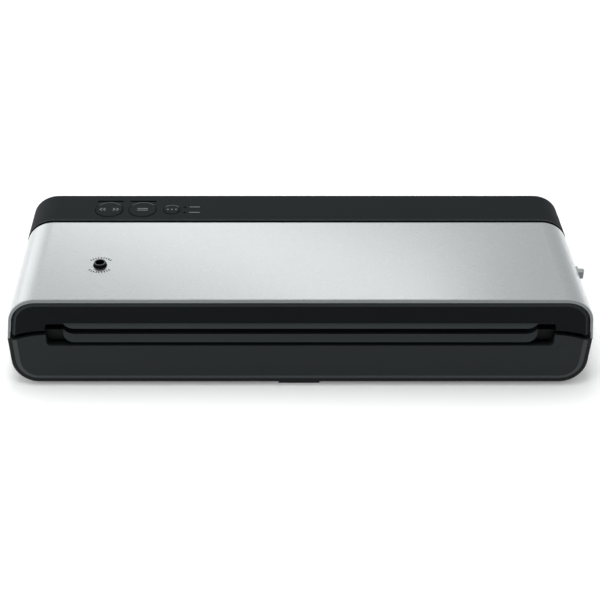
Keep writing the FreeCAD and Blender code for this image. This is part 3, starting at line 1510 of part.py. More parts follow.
rotor = fuse(
    "pump_rotor",
    rod("rotor_shaft", "x", pump_y, axis_z, (shaft_start, wheel_x[1]), shaft_radius),
    rod("rotor_crank", "x", pump_y, crank_z, crank_x, d.crank_diameter / 2),
    rod("rotor_wheel", "x", pump_y, axis_z, wheel_x, d.flywheel_diameter / 2),
)
node(rotor, "pump_rotor")
rod_middle = (crank_x[0] + crank_x[1]) / 2
rod_x = (rod_middle - d.rod_width / 2, rod_middle + d.rod_width / 2)
eye_radius = d.crank_diameter / 2 + d.crank_throw * 2 + d.move_gap
eye_outer = eye_radius + d.rod_end_wall
piston_foot = d.case_top_height + d.piston_rest
neck_y = (pump_y - d.rod_neck / 2, pump_y + d.rod_neck / 2)
piston_solid = fuse(
    "piston_solid",
    rod("rod_eye", "x", pump_y, crank_z, rod_x, eye_outer),
    block("rod_neck_block", rod_x, neck_y, (crank_z, piston_foot)),
    rod("piston_crown", "z", rod_middle, pump_y, (piston_foot, piston_foot + d.piston_height),
        d.piston_diameter / 2),
)
eye_bore = rod("rod_eye_bore", "x", pump_y, crank_z, rod_x, eye_radius)
node(cut("pump_piston", piston_solid, eye_bore), "pump_piston")
bore_radius = d.piston_diameter / 2 + d.running_gap
block_half = bore_radius + d.cylinder_wall
cylinder_x = (rod_middle - block_half, rod_middle + block_half)
cylinder_y = (pump_y - block_half, pump_y + block_half)
cylinder_z = (d.case_top_height, d.case_top_height + d.cylinder_height)
cylinder_bore = rod("cylinder_bore", "z", rod_middle, pump_y, cylinder_z, bore_radius)
cylinder_block = block("cylinder_block", cylinder_x, cylinder_y, cylinder_z)
node(cut("pump_cylinder", cylinder_block, cylinder_bore), "pump_cylinder")
head_z = (cylinder_z[1], cylinder_z[1] + d.head_height)
barb_z = (head_z[0] + head_z[1]) / 2
head_barb = (cylinder_x[0] - d.barb_length, cylinder_x[0])
pump_head = cut(
    "pump_head",
    fuse(
        "head_solid",
        block("head_block", cylinder_x, cylinder_y, head_z),
        rod("head_barb", "x", pump_y, barb_z, head_barb, d.hose_bore / 2),
    ),
    rod("head_bore", "x", pump_y, barb_z, (head_barb[0], rod_middle), d.barb_bore / 2),
)
node(pump_head, "pump_head")

# Suction hose: from the trough's barb under the deck, up beside the motor and across to the pump head.
bend = d.hose_bend.number
hose_x = d.hose_x.number
hose_low = hose_z.number
hose_high = barb_z.number
turn_y = pump_y.number - bend
corner_cos = bend * math.cos(math.pi / 4)
hose_start = FreeCAD.Vector(hose_x, (shell_y[1] + d.fit_gap).number, hose_low)
hose_end = FreeCAD.Vector((head_barb[1] - d.fit_gap).number, pump_y.number, hose_high)
rise_start = FreeCAD.Vector(hose_x, turn_y, hose_low)
rise_middle = FreeCAD.Vector(hose_x, turn_y + corner_cos, hose_low + bend - corner_cos)
rise_end = FreeCAD.Vector(hose_x, turn_y + bend, hose_low + bend)
over_start = FreeCAD.Vector(hose_x, turn_y + bend, hose_high - bend)
over_middle = FreeCAD.Vector(hose_x + bend - corner_cos, turn_y + bend, hose_high - bend + corner_cos)
over_end = FreeCAD.Vector(hose_x + bend, turn_y + bend, hose_high)
hose_path = Part.Wire([
    Part.LineSegment(hose_start, rise_start).toShape(),
    Part.Arc(rise_start, rise_middle, rise_end).toShape(),
    Part.LineSegment(rise_end, over_start).toShape(),
    Part.Arc(over_start, over_middle, over_end).toShape(),
    Part.LineSegment(over_end, hose_end).toShape(),
])


def along_hose(radius):
    profile = Part.Wire(Part.Circle(hose_start, FreeCAD.Vector(0, 1, 0), radius.number).toShape())
    return hose_path.makePipeShell([profile], True, False)


hose = doc.addObject("Part::Feature", "suction_hose")
hose.Shape = along_hose(d.hose_diameter / 2).cut(along_hose(d.hose_bore / 2))
node(hose, "suction_hose")

# Rubber feet, the wide foot in the middle of the front, the mains gland and the base screws.
foot_spots = [
    (x, y)
    for x in both_sides(half - d.foot_side_inset)
    for y in both_sides(rear - d.foot_end_inset)
]
pads = [
    rod(f"foot_{index}", "z", x, y, (zero, d.foot_height), d.foot_diameter / 2)
    for index, (x, y) in enumerate(foot_spots)
]
node(group("rubber_feet", *pads), "rubber_feet")
stand_y = (front + d.front_foot_set_back, front + d.front_foot_set_back + d.front_foot_depth)
node(block("front_foot", both_sides(d.front_foot_width / 2), stand_y, (zero, d.foot_height)), "front_foot")
gland = new_body("mains_gland")
revolve(gland, "turning", [
    (d.gland_bore_diameter / 2, -d.gland_flange_height),
    (d.gland_flange_diameter / 2, -d.gland_flange_height),
    (d.gland_flange_diameter / 2, zero),
    (d.gland_neck_diameter / 2, zero),
    (d.gland_neck_diameter / 2, d.shell_wall),
    (d.gland_tail_diameter / 2, d.shell_wall),
    (d.gland_tail_diameter / 2, d.shell_wall + d.gland_tail_length),
    (d.gland_bore_diameter / 2, d.shell_wall + d.gland_tail_length),
])
gland.Placement = FreeCAD.Placement(FreeCAD.Vector(), FreeCAD.Rotation(FreeCAD.Vector(1, 0, 0), 90))
place(gland, -gland_x, rear, d.gland_height)
node(gland, "mains_gland")
base_screw_seat = d.foot_height + d.screw_sink
base_screw_length = d.boss_joint_height - base_screw_seat + d.screw_grip
base_screws = [
    screw(f"base_screw_{index}", x, y, base_screw_seat, base_screw_length)
    for index, (x, y) in enumerate(base_screw_spots)
]
node(group("base_screws", *base_screws), "base_screws")

doc.recompute()
faults = [item.Name for item in doc.Objects if {"Invalid", "Error"} & set(item.State)]
faults += [piece.Label for piece in nodes if piece.Shape.isNull() or not piece.Shape.isValid()]
if faults:
    raise RuntimeError(f"not built: {faults}")
os.makedirs("parts", exist_ok=True)
for piece in nodes:
    piece.Shape.exportStep(f"parts/{piece.Label}.step")
print(f"wrote {len(nodes)} pieces")
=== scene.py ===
import math

import bpy
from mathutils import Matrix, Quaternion, Vector


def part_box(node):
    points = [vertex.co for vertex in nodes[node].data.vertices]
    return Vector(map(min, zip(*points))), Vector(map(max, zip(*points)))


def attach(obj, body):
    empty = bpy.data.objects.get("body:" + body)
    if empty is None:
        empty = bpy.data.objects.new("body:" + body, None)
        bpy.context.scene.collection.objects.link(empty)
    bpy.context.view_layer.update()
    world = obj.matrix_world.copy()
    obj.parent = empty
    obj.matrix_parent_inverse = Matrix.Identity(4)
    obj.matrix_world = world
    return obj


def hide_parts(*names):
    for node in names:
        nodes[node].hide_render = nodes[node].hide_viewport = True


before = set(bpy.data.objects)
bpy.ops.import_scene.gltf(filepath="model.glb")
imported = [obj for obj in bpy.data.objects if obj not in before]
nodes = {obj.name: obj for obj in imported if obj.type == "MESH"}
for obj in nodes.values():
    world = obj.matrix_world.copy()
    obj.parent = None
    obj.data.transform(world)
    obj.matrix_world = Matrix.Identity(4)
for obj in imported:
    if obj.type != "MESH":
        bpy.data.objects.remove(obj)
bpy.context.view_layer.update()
mm = 0.001  # the scene is in metres
print("frame loaded:", len(nodes), "CAD nodes")


def linear(hexColour):  # sRGB hex to linear RGBA
    parts = [int(hexColour[i:i + 2], 16) / 255 for i in (1, 3, 5)]
    return tuple(c / 12.92 if c <= 0.04045 else ((c + 0.055) / 1.055) ** 2.4 for c in parts) + (1.0,)


def grey(level):  # linear grey of one level
    return (level,) * 3 + (1.0,)


def addNode(tree, kind, settings=None, links=None):
    # settings go to an attribute or a socket, links join a socket to its source
    node = tree.nodes.new(kind)
    for name, value in (settings or {}).items():
        if isinstance(name, str) and hasattr(node, name):
            setattr(node, name, value)
        else:
            node.inputs[name].default_value = value
    for name, source in (links or {}).items():
        tree.links.new(source, node.inputs[name])
    return node


def startMaterial(name):
    material = bpy.data.materials.new(name)
    material.use_nodes = True
    material.node_tree.nodes.clear()
    return material, material.node_tree


def paint(material, *names):  # gives CAD nodes this finish
    for name in names:
        nodes[name].data.materials.clear()
        nodes[name].data.materials.append(material)


def mixTones(tree, tones, share):  # a colour between two hex tones
    dark, light = tones
    return addNode(tree, "ShaderNodeMix", {"data_type": "RGBA", 6: linear(dark), 7: linear(light)},
                   {0: share})


# faces whose colour carries painted light and shade by the way they face: axis of the normal, where the
# painted tone starts and where it is full
paintedLightTones = {"bevel": ("Y", -0.4, -0.55), "front": ("Y", -0.94, -0.98), "top": ("Z", 0.9, 0.97)}


def grainFinish(look):
    # colour drifts between two close tones, a fine relief breaks the gloss
    # grain is the relief's size and drift the size of the colour's patches, in mm
    # stretch draws the grain out along x, grainShare is the grain's part in the colour
    # bevel, front and top are painted light and shade on faces that look that way: a painted highlight on
    # bevels and rims, painted shade on most front faces and a painted highlight on the ledge's front
    material, tree = startMaterial(look["name"])
    coords = addNode(tree, "ShaderNodeTexCoord").outputs["Object"]
    normal = addNode(tree, "ShaderNodeNewGeometry").outputs["Normal"]
    facing = addNode(tree, "ShaderNodeSeparateXYZ", links={0: normal})
    long = look["grain"] * look.get("stretch", 1)
    fine = 1 / (look["grain"] * mm)
    mapped = addNode(tree, "ShaderNodeMapping", {"Scale": (1 / (long * mm), fine, fine)},
                     {"Vector": coords})
    grain = addNode(tree, "ShaderNodeTexNoise", {"Scale": 1.0, "Detail": 4.0},
                    {"Vector": mapped.outputs[0]})
    drift = addNode(tree, "ShaderNodeTexNoise", {"Scale": 1 / (look["drift"] * mm), "Detail": 2.0},
                    {"Vector": coords})
    both = addNode(tree, "ShaderNodeMix", {"data_type": "FLOAT", 0: look.get("grainShare", 0.3)},
                   {2: drift.outputs["Fac"], 3: grain.outputs["Fac"]}).outputs[0]
    tone = mixTones(tree, (look["dark"], look["light"]), both)
    for side, (axis, low, high) in paintedLightTones.items():
        if side in look:
            paintedTone = mixTones(tree, look[side], both)
            share = addNode(tree, "ShaderNodeMapRange", {"From Min": low, "From Max": high},
                            {"Value": facing.outputs[axis]})
            tone = addNode(tree, "ShaderNodeMix", {"data_type": "RGBA"},
                           {0: share.outputs[0], 6: tone.outputs[2], 7: paintedTone.outputs[2]})
    gloss = addNode(tree, "ShaderNodeMapRange",
                    {"To Min": look["rough"] - look["spread"], "To Max": look["rough"] + look["spread"]},
                    {"Value": grain.outputs["Fac"]})
    relief = addNode(tree, "ShaderNodeBump", {"Strength": 1.0, "Distance": look["relief"] * mm},
                     {"Height": grain.outputs["Fac"]})
    shader = addNode(tree, "ShaderNodeBsdfPrincipled",
                     {"Metallic": look.get("metal", 0.0), "Specular IOR Level": look.get("specular", 0.5)},
                     {"Base Color": tone.outputs[2], "Roughness": gloss.outputs[0],
                      "Normal": relief.outputs[0]})
    addNode(tree, "ShaderNodeOutputMaterial", links={"Surface": shader.outputs[0]})
    return material


# brushed stainless steel under clear lacquer: satin, very faint lines across the lid
# the real lines are about 0.1 mm apart, drawn at 0.5 mm so that they just show
# its front face takes a darker tone: painted shade, for the dark room in front that it mirrors
brushedSteel = grainFinish({
    "name": "brushedStainlessSteel", "dark": "#c8cccd", "light": "#d0d4d5", "front": ("#6f7374", "#797d7e"),
    "metal": 1.0, "grain": 0.5, "stretch": 9, "drift": 45, "grainShare": 0.6,
    "rough": 0.28, "spread": 0.02, "relief": 0.0009,
})
# moulded ABS with a spark-eroded skin: what its colours share
texturedAbs = {"grain": 0.7, "drift": 60, "rough": 0.6, "spread": 0.06, "relief": 0.006, "specular": 0.06}
# charcoal, soft even sheen, with a painted highlight on the bevels round the buttons and painted shade on
# its front faces
charcoalAbs = grainFinish({
    **texturedAbs, "name": "charcoalTexturedAbs", "dark": "#191d1e", "light": "#1d2122",
    "bevel": ("#5a5e5f", "#646869"), "front": ("#121516", "#161a1b"),
})
# the same on the buttons, with no painted highlight on the edge
buttonAbs = grainFinish({
    **texturedAbs, "name": "plainTexturedAbs", "dark": "#191d1e", "light": "#1d2122",
})
# the same on the lower lip, its front face painted a little lighter: a painted highlight
ledgeAbs = grainFinish({
    **texturedAbs, "name": "ledgeAbsPaintedHighlight", "dark": "#191d1e", "light": "#1d2122",
    "front": ("#292d2e", "#2d3132"),
})
# the front panel, with a painted highlight on its bevel and painted shade on its front face
panelAbs = grainFinish({
    **texturedAbs, "name": "bevelledPanelAbs", "dark": "#1b1f20", "light": "#202425",
    "bevel": ("#2c3031", "#323637"), "front": ("#191d1e", "#1d2122"), "rough": 0.5, "specular": 0.15,
})
# for the lid's front: painted darker than the panel below, as painted shade on its downward-leaning face,
# with a painted highlight on the bevel and more painted shade on its front faces
shadedLidAbs = grainFinish({
    **texturedAbs, "name": "lidAbsPaintedShade", "dark": "#0f1213", "light": "#131617",
    "bevel": ("#313536", "#373b3c"), "front": ("#0d1011", "#111415"), "rough": 0.55, "specular": 0.04,
})
# black, inside the lid and on the deck, with painted shade on its front faces
innerAbs = grainFinish({
    **texturedAbs, "name": "blackTexturedAbs", "dark": "#0a0c0d", "light": "#0e1011",
    "front": ("#030404", "#050606"), "rough": 0.55, "specular": 0.15,
})
# the tub: dark, a little glossier; its colour is painted darker than the panel, as painted shade on the
# band round the panel
shadedTubAbs = grainFinish({
    **texturedAbs, "name": "tubAbsPaintedShade", "dark": "#0f1213", "light": "#131617",
    "rough": 0.55, "specular": 0.15,
})
# plain black ABS from a polished tool: half gloss
glossAbs = grainFinish({
    "name": "polishedBlackAbs", "dark": "#0b0c0d", "light": "#101112",
    "grain": 1.2, "drift": 25, "rough": 0.18, "spread": 0.04, "relief": 0.002, "specular": 0.5,
})
# black ABS of the port: the collar is dull, its rim carries a painted highlight
portAbs = grainFinish({
    "name": "portAbsPaintedHighlight", "dark": "#050606", "light": "#080909", "top": ("#4a4d4e", "#565a5b"),
    "grain": 1.2, "drift": 25, "rough": 0.4, "spread": 0.04, "relief": 0.002, "specular": 0.05,
})
# dark grey ABS liner, smooth
greyAbs = grainFinish({
    "name": "greyMouldedAbs", "dark": "#45484a", "light": "#4b4e50",
    "grain": 0.8, "drift": 40, "rough": 0.42, "spread": 0.06, "relief": 0.004, "specular": 0.4,
})
# glass-filled nylon: grey black, slightly mottled by the fibres
filledNylon = grainFinish({
    "name": "glassFilledNylon", "dark": "#37393a", "light": "#444648",
    "grain": 0.5, "drift": 9, "rough": 0.5, "spread": 0.1, "relief": 0.01, "specular": 0.4,
})
# zinc-plated steel: bright, faintly bluish, clouded
zincSteel = grainFinish({
    "name": "zincPlatedSteel", "dark": "#a9adb0", "light": "#c4c7c9", "metal": 1.0,
    "grain": 0.5, "drift": 6, "rough": 0.3, "spread": 0.1, "relief": 0.003,
})
# satin chrome over ABS, for the knob, with painted shade on its front face
satinChrome = grainFinish({
    "name": "satinChromedAbs", "dark": "#bcc0c1", "light": "#ced2d2", "front": ("#686c6d", "#74787a"),
    "metal": 1.0, "grain": 0.6, "drift": 12, "rough": 0.35, "spread": 0.06, "relief": 0.003,
})
# moulded rubber: black, dull
blackRubber = grainFinish({
    "name": "mouldedRubber", "dark": "#171818", "light": "#1e1f1f",
    "grain": 0.6, "drift": 15, "rough": 0.75, "spread": 0.1, "relief": 0.02, "specular": 0.25,
})
# smoked polycarbonate over unlit lamps: nearly black
smokedPane = grainFinish({
    "name": "smokedPolycarbonate", "dark": "#020202", "light": "#040405",
    "grain": 2.0, "drift": 8, "rough": 0.3, "spread": 0.03, "relief": 0.001, "specular": 0.03,
})
# PTFE-coated glass cloth tape: tan
releaseTape = grainFinish({
    "name": "coatedGlassCloth", "dark": "#8a6a46", "light": "#9d7b54",
    "grain": 0.6, "stretch": 3, "drift": 20, "rough": 0.4, "spread": 0.08, "relief": 0.02, "specular": 0.4,
})
# nickel-chrome ribbon
heaterAlloy = grainFinish({
    "name": "nickelChromeRibbon", "dark": "#8f8b86", "light": "#a8a49e", "metal": 1.0,
    "grain": 0.3, "stretch": 20, "drift": 10, "rough": 0.35, "spread": 0.08, "relief": 0.002,
})
# phenolic laminate: brown, heat proof
phenolic = grainFinish({
    "name": "phenolicLaminate", "dark": "#6b5a45", "light": "#7d6a52",
    "grain": 0.4, "stretch": 6, "drift": 14, "rough": 0.55, "spread": 0.08, "relief": 0.01, "specular": 0.4,
})
# epoxy glass board under green resist
greenBoard = grainFinish({
    "name": "greenCircuitBoard", "dark": "#14522c", "light": "#1f6a3b",
    "grain": 0.4, "drift": 8, "rough": 0.35, "spread": 0.05, "relief": 0.01,
})
# stacked silicon-steel sheets: grey, lined
coreSteel = grainFinish({
    "name": "laminatedCoreSteel", "dark": "#6c6e70", "light": "#85878a", "metal": 1.0,
    "grain": 0.5, "stretch": 12, "drift": 10, "rough": 0.45, "spread": 0.08, "relief": 0.03,
})
# enamelled copper winding
copperWire = grainFinish({
    "name": "enamelledCopper", "dark": "#9a5a2a", "light": "#bd7a3f", "metal": 1.0,
    "grain": 0.4, "stretch": 20, "drift": 8, "rough": 0.32, "spread": 0.08, "relief": 0.05,
})
# shrink sleeve on the capacitors: dark blue
blueSleeve = grainFinish({
    "name": "shrinkSleeve", "dark": "#1c2450", "light": "#232c5f",
    "grain": 1.0, "drift": 9, "rough": 0.3, "spread": 0.04, "relief": 0.004,
})
# milky silicone tube
milkySilicone = grainFinish({
    "name": "milkySiliconeTube", "dark": "#b9b8b2", "light": "#c8c7c1",
    "grain": 0.8, "drift": 12, "rough": 0.45, "spread": 0.06, "relief": 0.006, "specular": 0.4,
})
# red acetal
redAcetal = grainFinish({
    "name": "redAcetal", "dark": "#a3251d", "light": "#b12d24",
    "grain": 0.6, "drift": 5, "rough": 0.4, "spread": 0.05, "relief": 0.004,
})

paint(brushedSteel, "lid_cover")
paint(charcoalAbs, "control_housing")
paint(ledgeAbs, "bag_ledge", "bag_guides")
paint(panelAbs, "base_fascia")
paint(shadedTubAbs, "base_housing", "base_pan", "front_foot")
paint(shadedLidAbs, "lid_fascia")
paint(innerAbs, "lid_tray", "deck", "vacuum_trough")
paint(buttonAbs, "vacuum_button", "seal_button", "mode_button")
paint(portAbs, "accessory_port")
paint(greyAbs, "drip_tray")
paint(filledNylon, "latch_hooks", "hinge_posts", "motor_cradle", "pump_case", "pump_cylinder", "pump_head",
      "pump_piston")
paint(zincSteel, "hinge_pins", "lid_screws", "base_screws", "board_screws", "latch_shaft", "pump_motor",
      "pump_rotor")
paint(satinChrome, "latch_knob")
paint(blackRubber, "rubber_feet", "mains_gland")
paint(smokedPane, "lamp_windows", "indicator_lamps")
paint(releaseTape, "release_tape")
paint(heaterAlloy, "heater_ribbon")
paint(phenolic, "seal_bar")
paint(greenBoard, "control_board", "power_board")
paint(coreSteel, "transformer_core")
paint(copperWire, "transformer_coil")
paint(blueSleeve, "capacitors")
paint(milkySilicone, "suction_hose")
paint(glossAbs, "tact_switches", "lid_switch")
paint(redAcetal, "switch_plunger")
print("finishes given")

# closed-cell foam: charcoal, dull, with fine open pores on the skin
foamSkin = grainFinish({
    "name": "closedCellFoam", "dark": "#34373a", "light": "#444749",
    "grain": 0.9, "drift": 14, "grainShare": 0.6, "rough": 0.9, "spread": 0.05, "relief": 0.12,
    "specular": 0.15,
})
# pressed silicone rubber: dark grey, waxy
greySilicone = grainFinish({
    "name": "pressedSilicone", "dark": "#27292a", "light": "#2e3031",
    "grain": 0.8, "drift": 18, "rough": 0.5, "spread": 0.06, "relief": 0.006, "specular": 0.3,
})
# pad-printed ink: flat
printedInk = {"grain": 0.3, "drift": 4, "rough": 0.6, "spread": 0.05, "relief": 0.001, "specular": 0.2}
greyInk = grainFinish({**printedInk, "name": "padPrintedInk", "dark": "#666c6d", "light": "#747a7b"})
# dark, on the metal
darkInk = grainFinish({**printedInk, "name": "darkPrintedInk", "dark": "#17191a", "light": "#1f2122"})


def finishPiece(piece, material, body):  # place goes into the mesh, then body, slot and finish
    bpy.ops.object.select_all(action="DESELECT")
    piece.select_set(True)
    bpy.context.view_layer.objects.active = piece
    bpy.ops.object.transform_apply(location=True, rotation=True, scale=True)
    piece.data.materials.append(material)
    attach(piece, body)


def pickVertices(piece, test):  # selects by place, with the mesh open for editing
    bpy.ops.object.mode_set(mode="OBJECT")
    for polygon in piece.data.polygons:
        polygon.select = False
    for edge in piece.data.edges:
        edge.select = False
    for vertex in piece.data.vertices:
        vertex.select = test(vertex.co)
    bpy.ops.object.mode_set(mode="EDIT")


def softenEdges(piece, width, shadeAngle):
    # rounds the sharp edges of the active piece and shades the rest smooth, in mm and degrees
    soften = piece.modifiers.new("softEdge", "BEVEL")
    soften.width = width * mm
    soften.segments = 3
    soften.angle_limit = math.radians(60)
    bpy.ops.object.modifier_apply(modifier=soften.name)
    bpy.ops.object.shade_smooth_by_angle(angle=math.radians(shadeAngle))


# foam gaskets: rings with round corners and soft edges, in mm and degrees
gasketLook = {"corner": 16.0, "cornerSteps": 10, "width": 8.0, "soft": 0.7, "shadeAngle": 40}
for name, node, body in (("upperGasket", "upper_gasket", "lid"), ("lowerGasket", "lower_gasket", "base")):
    low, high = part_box(node)
    bpy.ops.object.select_all(action="DESELECT")
    bpy.ops.mesh.primitive_plane_add(size=1, location=((low.x + high.x) / 2, (low.y + high.y) / 2, low.z))
    ring = bpy.context.object
    ring.name = name
    bpy.ops.object.mode_set(mode="EDIT")
    bpy.ops.mesh.select_all(action="SELECT")
    bpy.ops.transform.resize(value=(high.x - low.x, high.y - low.y, 1))
    bpy.ops.mesh.bevel(offset=gasketLook["corner"] * mm, segments=gasketLook["cornerSteps"],
                       affect="VERTICES")
    bpy.ops.mesh.select_all(action="SELECT")
    bpy.ops.mesh.inset(thickness=gasketLook["width"] * mm)
    bpy.ops.mesh.delete(type="FACE")  # the middle
    bpy.ops.mesh.select_all(action="SELECT")
    bpy.ops.mesh.extrude_region_move(TRANSFORM_OT_translate={"value": (0, 0, high.z - low.z)})
    bpy.ops.mesh.select_all(action="SELECT")
    bpy.ops.mesh.normals_make_consistent(inside=False)
    bpy.ops.object.mode_set(mode="OBJECT")
    softenEdges(ring, gasketLook["soft"], gasketLook["shadeAngle"])
    finishPiece(ring, foamSkin, body)
    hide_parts(node)

# silicone strip over the heater: grooved along its foot, soft edges, in mm and degrees
stripLook = {"grooves": 4, "deep": 0.7, "soft": 0.5, "shadeAngle": 30, "touch": 0.01}
low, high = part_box("pressure_strip")
bpy.ops.object.select_all(action="DESELECT")
bpy.ops.mesh.primitive_cube_add(size=1, location=(low + high) / 2)
strip = bpy.context.object
strip.name = "pressureStrip"
bpy.ops.object.mode_set(mode="EDIT")
bpy.ops.mesh.select_all(action="SELECT")
bpy.ops.transform.resize(value=high - low)
bands = stripLook["grooves"] * 2 + 2
pitch = (high.y - low.y) / bands
for step in range(1, bands):
    bpy.ops.mesh.select_all(action="SELECT")
    bpy.ops.mesh.bisect(plane_co=(0, low.y + pitch * step, 0), plane_no=(0, 1, 0))
near = stripLook["touch"] * mm
foot = (low.z - high.z) / 2  # the mesh's own middle is at zero
lines = [(low.y - high.y) / 2 + pitch * (2 * step) for step in range(1, stripLook["grooves"] + 1)]
pickVertices(strip, lambda co: co.z < foot + near and any(abs(co.y - line) < near for line in lines))
bpy.ops.transform.translate(value=(0, 0, stripLook["deep"] * mm))
bpy.ops.object.mode_set(mode="OBJECT")
softenEdges(strip, stripLook["soft"], stripLook["shadeAngle"])
finishPiece(strip, greySilicone, "lid")
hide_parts("pressure_strip")
print("soft pieces made")

inkLook = {"thick": 0.08, "roundShare": 0.45, "roundSteps": 4}  # mm, share of a dash's width, corner steps


def printMarks(name, marks, top, material, body):
    # each mark is one dash with round ends: centre x and y, length, width and turn, in mm and degrees
    dashes = []
    for x, y, length, width, turn in marks:
        bpy.ops.object.select_all(action="DESELECT")
        bpy.ops.mesh.primitive_plane_add(size=1, location=(x * mm, y * mm, top),
                                         rotation=(0, 0, math.radians(turn)))
        dash = bpy.context.object
        dash.scale = (length * mm, width * mm, 1)
        bpy.ops.object.transform_apply(location=True, rotation=True, scale=True)
        bpy.ops.object.mode_set(mode="EDIT")
        bpy.ops.mesh.select_all(action="SELECT")
        bpy.ops.mesh.bevel(offset=min(length, width) * inkLook["roundShare"] * mm,
                           segments=inkLook["roundSteps"], affect="VERTICES")
        bpy.ops.mesh.select_all(action="SELECT")
        bpy.ops.mesh.extrude_region_move(TRANSFORM_OT_translate={"value": (0, 0, inkLook["thick"] * mm)})
        bpy.ops.mesh.select_all(action="SELECT")
        bpy.ops.mesh.normals_make_consistent(inside=False)
        bpy.ops.object.mode_set(mode="OBJECT")
        dashes.append(dash)
    bpy.ops.object.select_all(action="DESELECT")
    for dash in dashes:
        dash.select_set(True)
    bpy.context.view_layer.objects.active = dashes[0]
    bpy.ops.object.join()
    dashes[0].name = name
    finishPiece(dashes[0], material, body)


def topCentre(name):  # x and y in mm, top in metres
    low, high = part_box(name)
    return (low.x + high.x) / 2 / mm, (low.y + high.y) / 2 / mm, high.z


# printed signs on the buttons: plain pictograms, in mm and degrees
chevronLook = {"reach": 3.6, "step": 2.6, "rise": 0.9, "length": 2.6, "width": 0.7, "turn": 45}
x, y, z = topCentre("vacuum_button")
chevrons = [(x + chevronLook["reach"] * side + chevronLook["step"] * place * side,
             y + chevronLook["rise"] * arm,
             chevronLook["length"], chevronLook["width"], -chevronLook["turn"] * arm * side)
            for side in (-1, 1) for place in (0, 1) for arm in (-1, 1)]
printMarks("vacuumSign", chevrons, z, greyInk, "vacuum_button")
barLook = {"offset": 1.2, "length": 8.0, "width": 0.8}
x, y, z = topCentre("seal_button")
bars = [(x, y + barLook["offset"] * side, barLook["length"], barLook["width"], 0) for side in (-1, 1)]
printMarks("sealSign", bars, z, greyInk, "seal_button")
dotLook = {"step": 3.0, "size": 1.4}
x, y, z = topCentre("mode_button")
dots = [(x + dotLook["step"] * place, y, dotLook["size"], dotLook["size"], 0) for place in (-1, 0, 1)]
printMarks("modeSign", dots, z, greyInk, "mode_button")

# one dash beside each small lamp, on the panel, which is level with the lid
panelTop = 75.0 * mm
lampSignLook = {"x": -76.5, "rows": (44.55, 52.45), "length": 8.0, "width": 0.8}
lampDashes = [(lampSignLook["x"], row, lampSignLook["length"], lampSignLook["width"], 0)
              for row in lampSignLook["rows"]]
printMarks("lampSigns", lampDashes, panelTop, greyInk, "base")

# ticks round the port, in an arc behind it and one in front
tickLook = {"ring": 9.2, "middles": (90, 270), "eachSide": 4, "step": 12, "length": 1.9, "width": 0.75}
portX, portY, _ = topCentre("accessory_port")
ticks = []
for middle in tickLook["middles"]:
    for place in range(-tickLook["eachSide"], tickLook["eachSide"] + 1):
        turn = middle + place * tickLook["step"]
        angle = math.radians(turn)
        ticks.append((portX + tickLook["ring"] * math.cos(angle),
                      portY + tickLook["ring"] * math.sin(angle),
                      tickLook["length"], tickLook["width"], turn))
printMarks("portTicks", ticks, panelTop, darkInk, "lid")
print("printed signs made")

# camera, from the photograph's own perspective: degrees, lens, sensor and eye in mm, near limit in metres
shot = {"pitch": 34.68, "lens": 79.56, "sensor": 36.0, "shift": 0.0755, "near": 0.01,
        "eye": (-31.5, -806.6, 584.4)}
bpy.ops.object.select_all(action="DESELECT")
bpy.ops.object.camera_add(location=Vector(shot["eye"]) * mm,
                          rotation=(math.radians(90 - shot["pitch"]), 0, 0))
camera = bpy.context.object
camera.name = "photoCamera"
camera.data.lens = shot["lens"]
camera.data.sensor_width = shot["sensor"]
camera.data.shift_x = shot["shift"]
camera.data.clip_start = shot["near"]
bpy.context.scene.camera = camera

# floor: white sheet that keeps the shadow
floorLook = {"size": 12.0, "colour": "#f8f9f9", "rough": 0.9, "lift": 0.1}  # size in metres
bpy.ops.mesh.primitive_plane_add(size=floorLook["size"], location=(0, 0, 0))
floor = bpy.context.object
floor.name = "paperFloor"
material, tree = startMaterial("whitePaperSweep")
rays = addNode(tree, "ShaderNodeLightPath")
seen = addNode(tree, "ShaderNodeMath", {"operation": "ADD"},
               {0: rays.outputs["Is Camera Ray"], 1: rays.outputs["Is Glossy Ray"]})
seenAll = addNode(tree, "ShaderNodeMath", {"operation": "ADD", "use_clamp": True},
                  {0: seen.outputs[0], 1: rays.outputs["Is Transmission Ray"]})
lift = addNode(tree, "ShaderNodeMath", {"operation": "MULTIPLY", 1: floorLook["lift"]},
               {0: seenAll.outputs[0]})
shader = addNode(tree, "ShaderNodeBsdfPrincipled",
                 {"Base Color": linear(floorLook["colour"]), "Roughness": floorLook["rough"],
                  "Specular IOR Level": 0.0, "Emission Color": grey(1.0)},
                 {"Emission Strength": lift.outputs[0]})
addNode(tree, "ShaderNodeOutputMaterial", links={"Surface": shader.outputs[0]})
floor.data.materials.append(material)

# studio: white near the horizon, darker overhead and to the right, brighter behind the left end
# levels from the horizon up, then for each side its level and where along the axis it starts and is full
skyLook = {"horizon": 0.82, "middle": 0.64, "top": 0.6, "middleAt": 0.25,
           "right": 0.86, "rightFrom": 0.25, "rightFull": 0.55,
           "left": 0.4, "leftFrom": -0.12, "leftFull": -0.35, "behindFrom": 0.5, "behindFull": 0.75}
world = bpy.data.worlds.new("studioSky")
bpy.context.scene.world = world
world.use_nodes = True
tree = world.node_tree
tree.nodes.clear()
aim = addNode(tree, "ShaderNodeTexCoord").outputs["Generated"]
split = addNode(tree, "ShaderNodeSeparateXYZ", links={0: aim})
ramp = addNode(tree, "ShaderNodeValToRGB", links={0: split.outputs["Z"]})
steps = ramp.color_ramp.elements
steps[0].position, steps[0].color = 0.0, grey(skyLook["horizon"])
steps[1].position, steps[1].color = 1.0, grey(skyLook["top"])
between = steps.new(skyLook["middleAt"])
between.color = grey(skyLook["middle"])
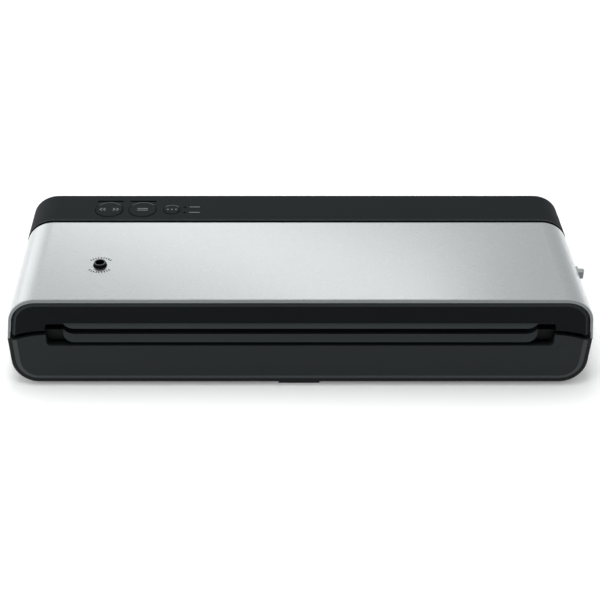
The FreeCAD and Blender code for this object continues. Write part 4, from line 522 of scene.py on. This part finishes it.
rightFade = addNode(tree, "ShaderNodeMapRange",
                    {"From Min": skyLook["rightFrom"], "From Max": skyLook["rightFull"],
                     "To Min": 1.0, "To Max": skyLook["right"]},
                    {"Value": split.outputs["X"]})
leftGlow = addNode(tree, "ShaderNodeMapRange",
                   {"From Min": skyLook["leftFrom"], "From Max": skyLook["leftFull"],
                    "To Max": skyLook["left"]},
                   {"Value": split.outputs["X"]})
behind = addNode(tree, "ShaderNodeMapRange",
                 {"From Min": skyLook["behindFrom"], "From Max": skyLook["behindFull"]},
                 {"Value": split.outputs["Y"]})
strength = addNode(tree, "ShaderNodeMath", {"operation": "MULTIPLY_ADD"},
                   {0: leftGlow.outputs[0], 1: behind.outputs[0], 2: rightFade.outputs[0]})
sky = addNode(tree, "ShaderNodeBackground",
              links={"Color": ramp.outputs[0], "Strength": strength.outputs[0]})
addNode(tree, "ShaderNodeOutputWorld", links={"Surface": sky.outputs[0]})

# name, place, aim, width, height (metres), turn about its own axis, watts, whether the steel mirrors it
# the ones that aren't mirrored only fill, so that no steel edge flares
lamps = [
    ("overheadSoftbox", (-0.1, -0.02, 1.3), (0, -0.05, 0.0), 0.9, 0.5, 0, 11.0, False),
    ("rearStrip", (-0.06, 1.0, 0.7), (0, 0, 0.075), 0.8, 0.09, -24, 0.53, True),
    ("leftSoftbox", (-0.75, 1.15, 0.32), (-0.19, 0, 0.07), 0.9, 0.6, 0, 0.75, True),
    ("leftFill", (-1.1, -0.75, 0.35), (-0.1, -0.07, 0.03), 0.5, 0.5, 0, 3.0, False),
]
for name, spot, target, wide, tall, turn, watts, mirrored in lamps:
    bpy.ops.object.light_add(type="AREA", location=spot)
    lamp = bpy.context.object
    lamp.name = name
    aimed = (Vector(target) - Vector(spot)).to_track_quat("-Z", "Y")
    lamp.rotation_euler = (aimed @ Quaternion((0, 0, 1), math.radians(turn))).to_euler()
    lamp.data.shape = "RECTANGLE"
    lamp.data.size, lamp.data.size_y = wide, tall
    lamp.data.energy = watts
    lamp.visible_camera = False
    lamp.visible_glossy = mirrored
bpy.context.scene.view_settings.view_transform = "Standard"
print("studio set")
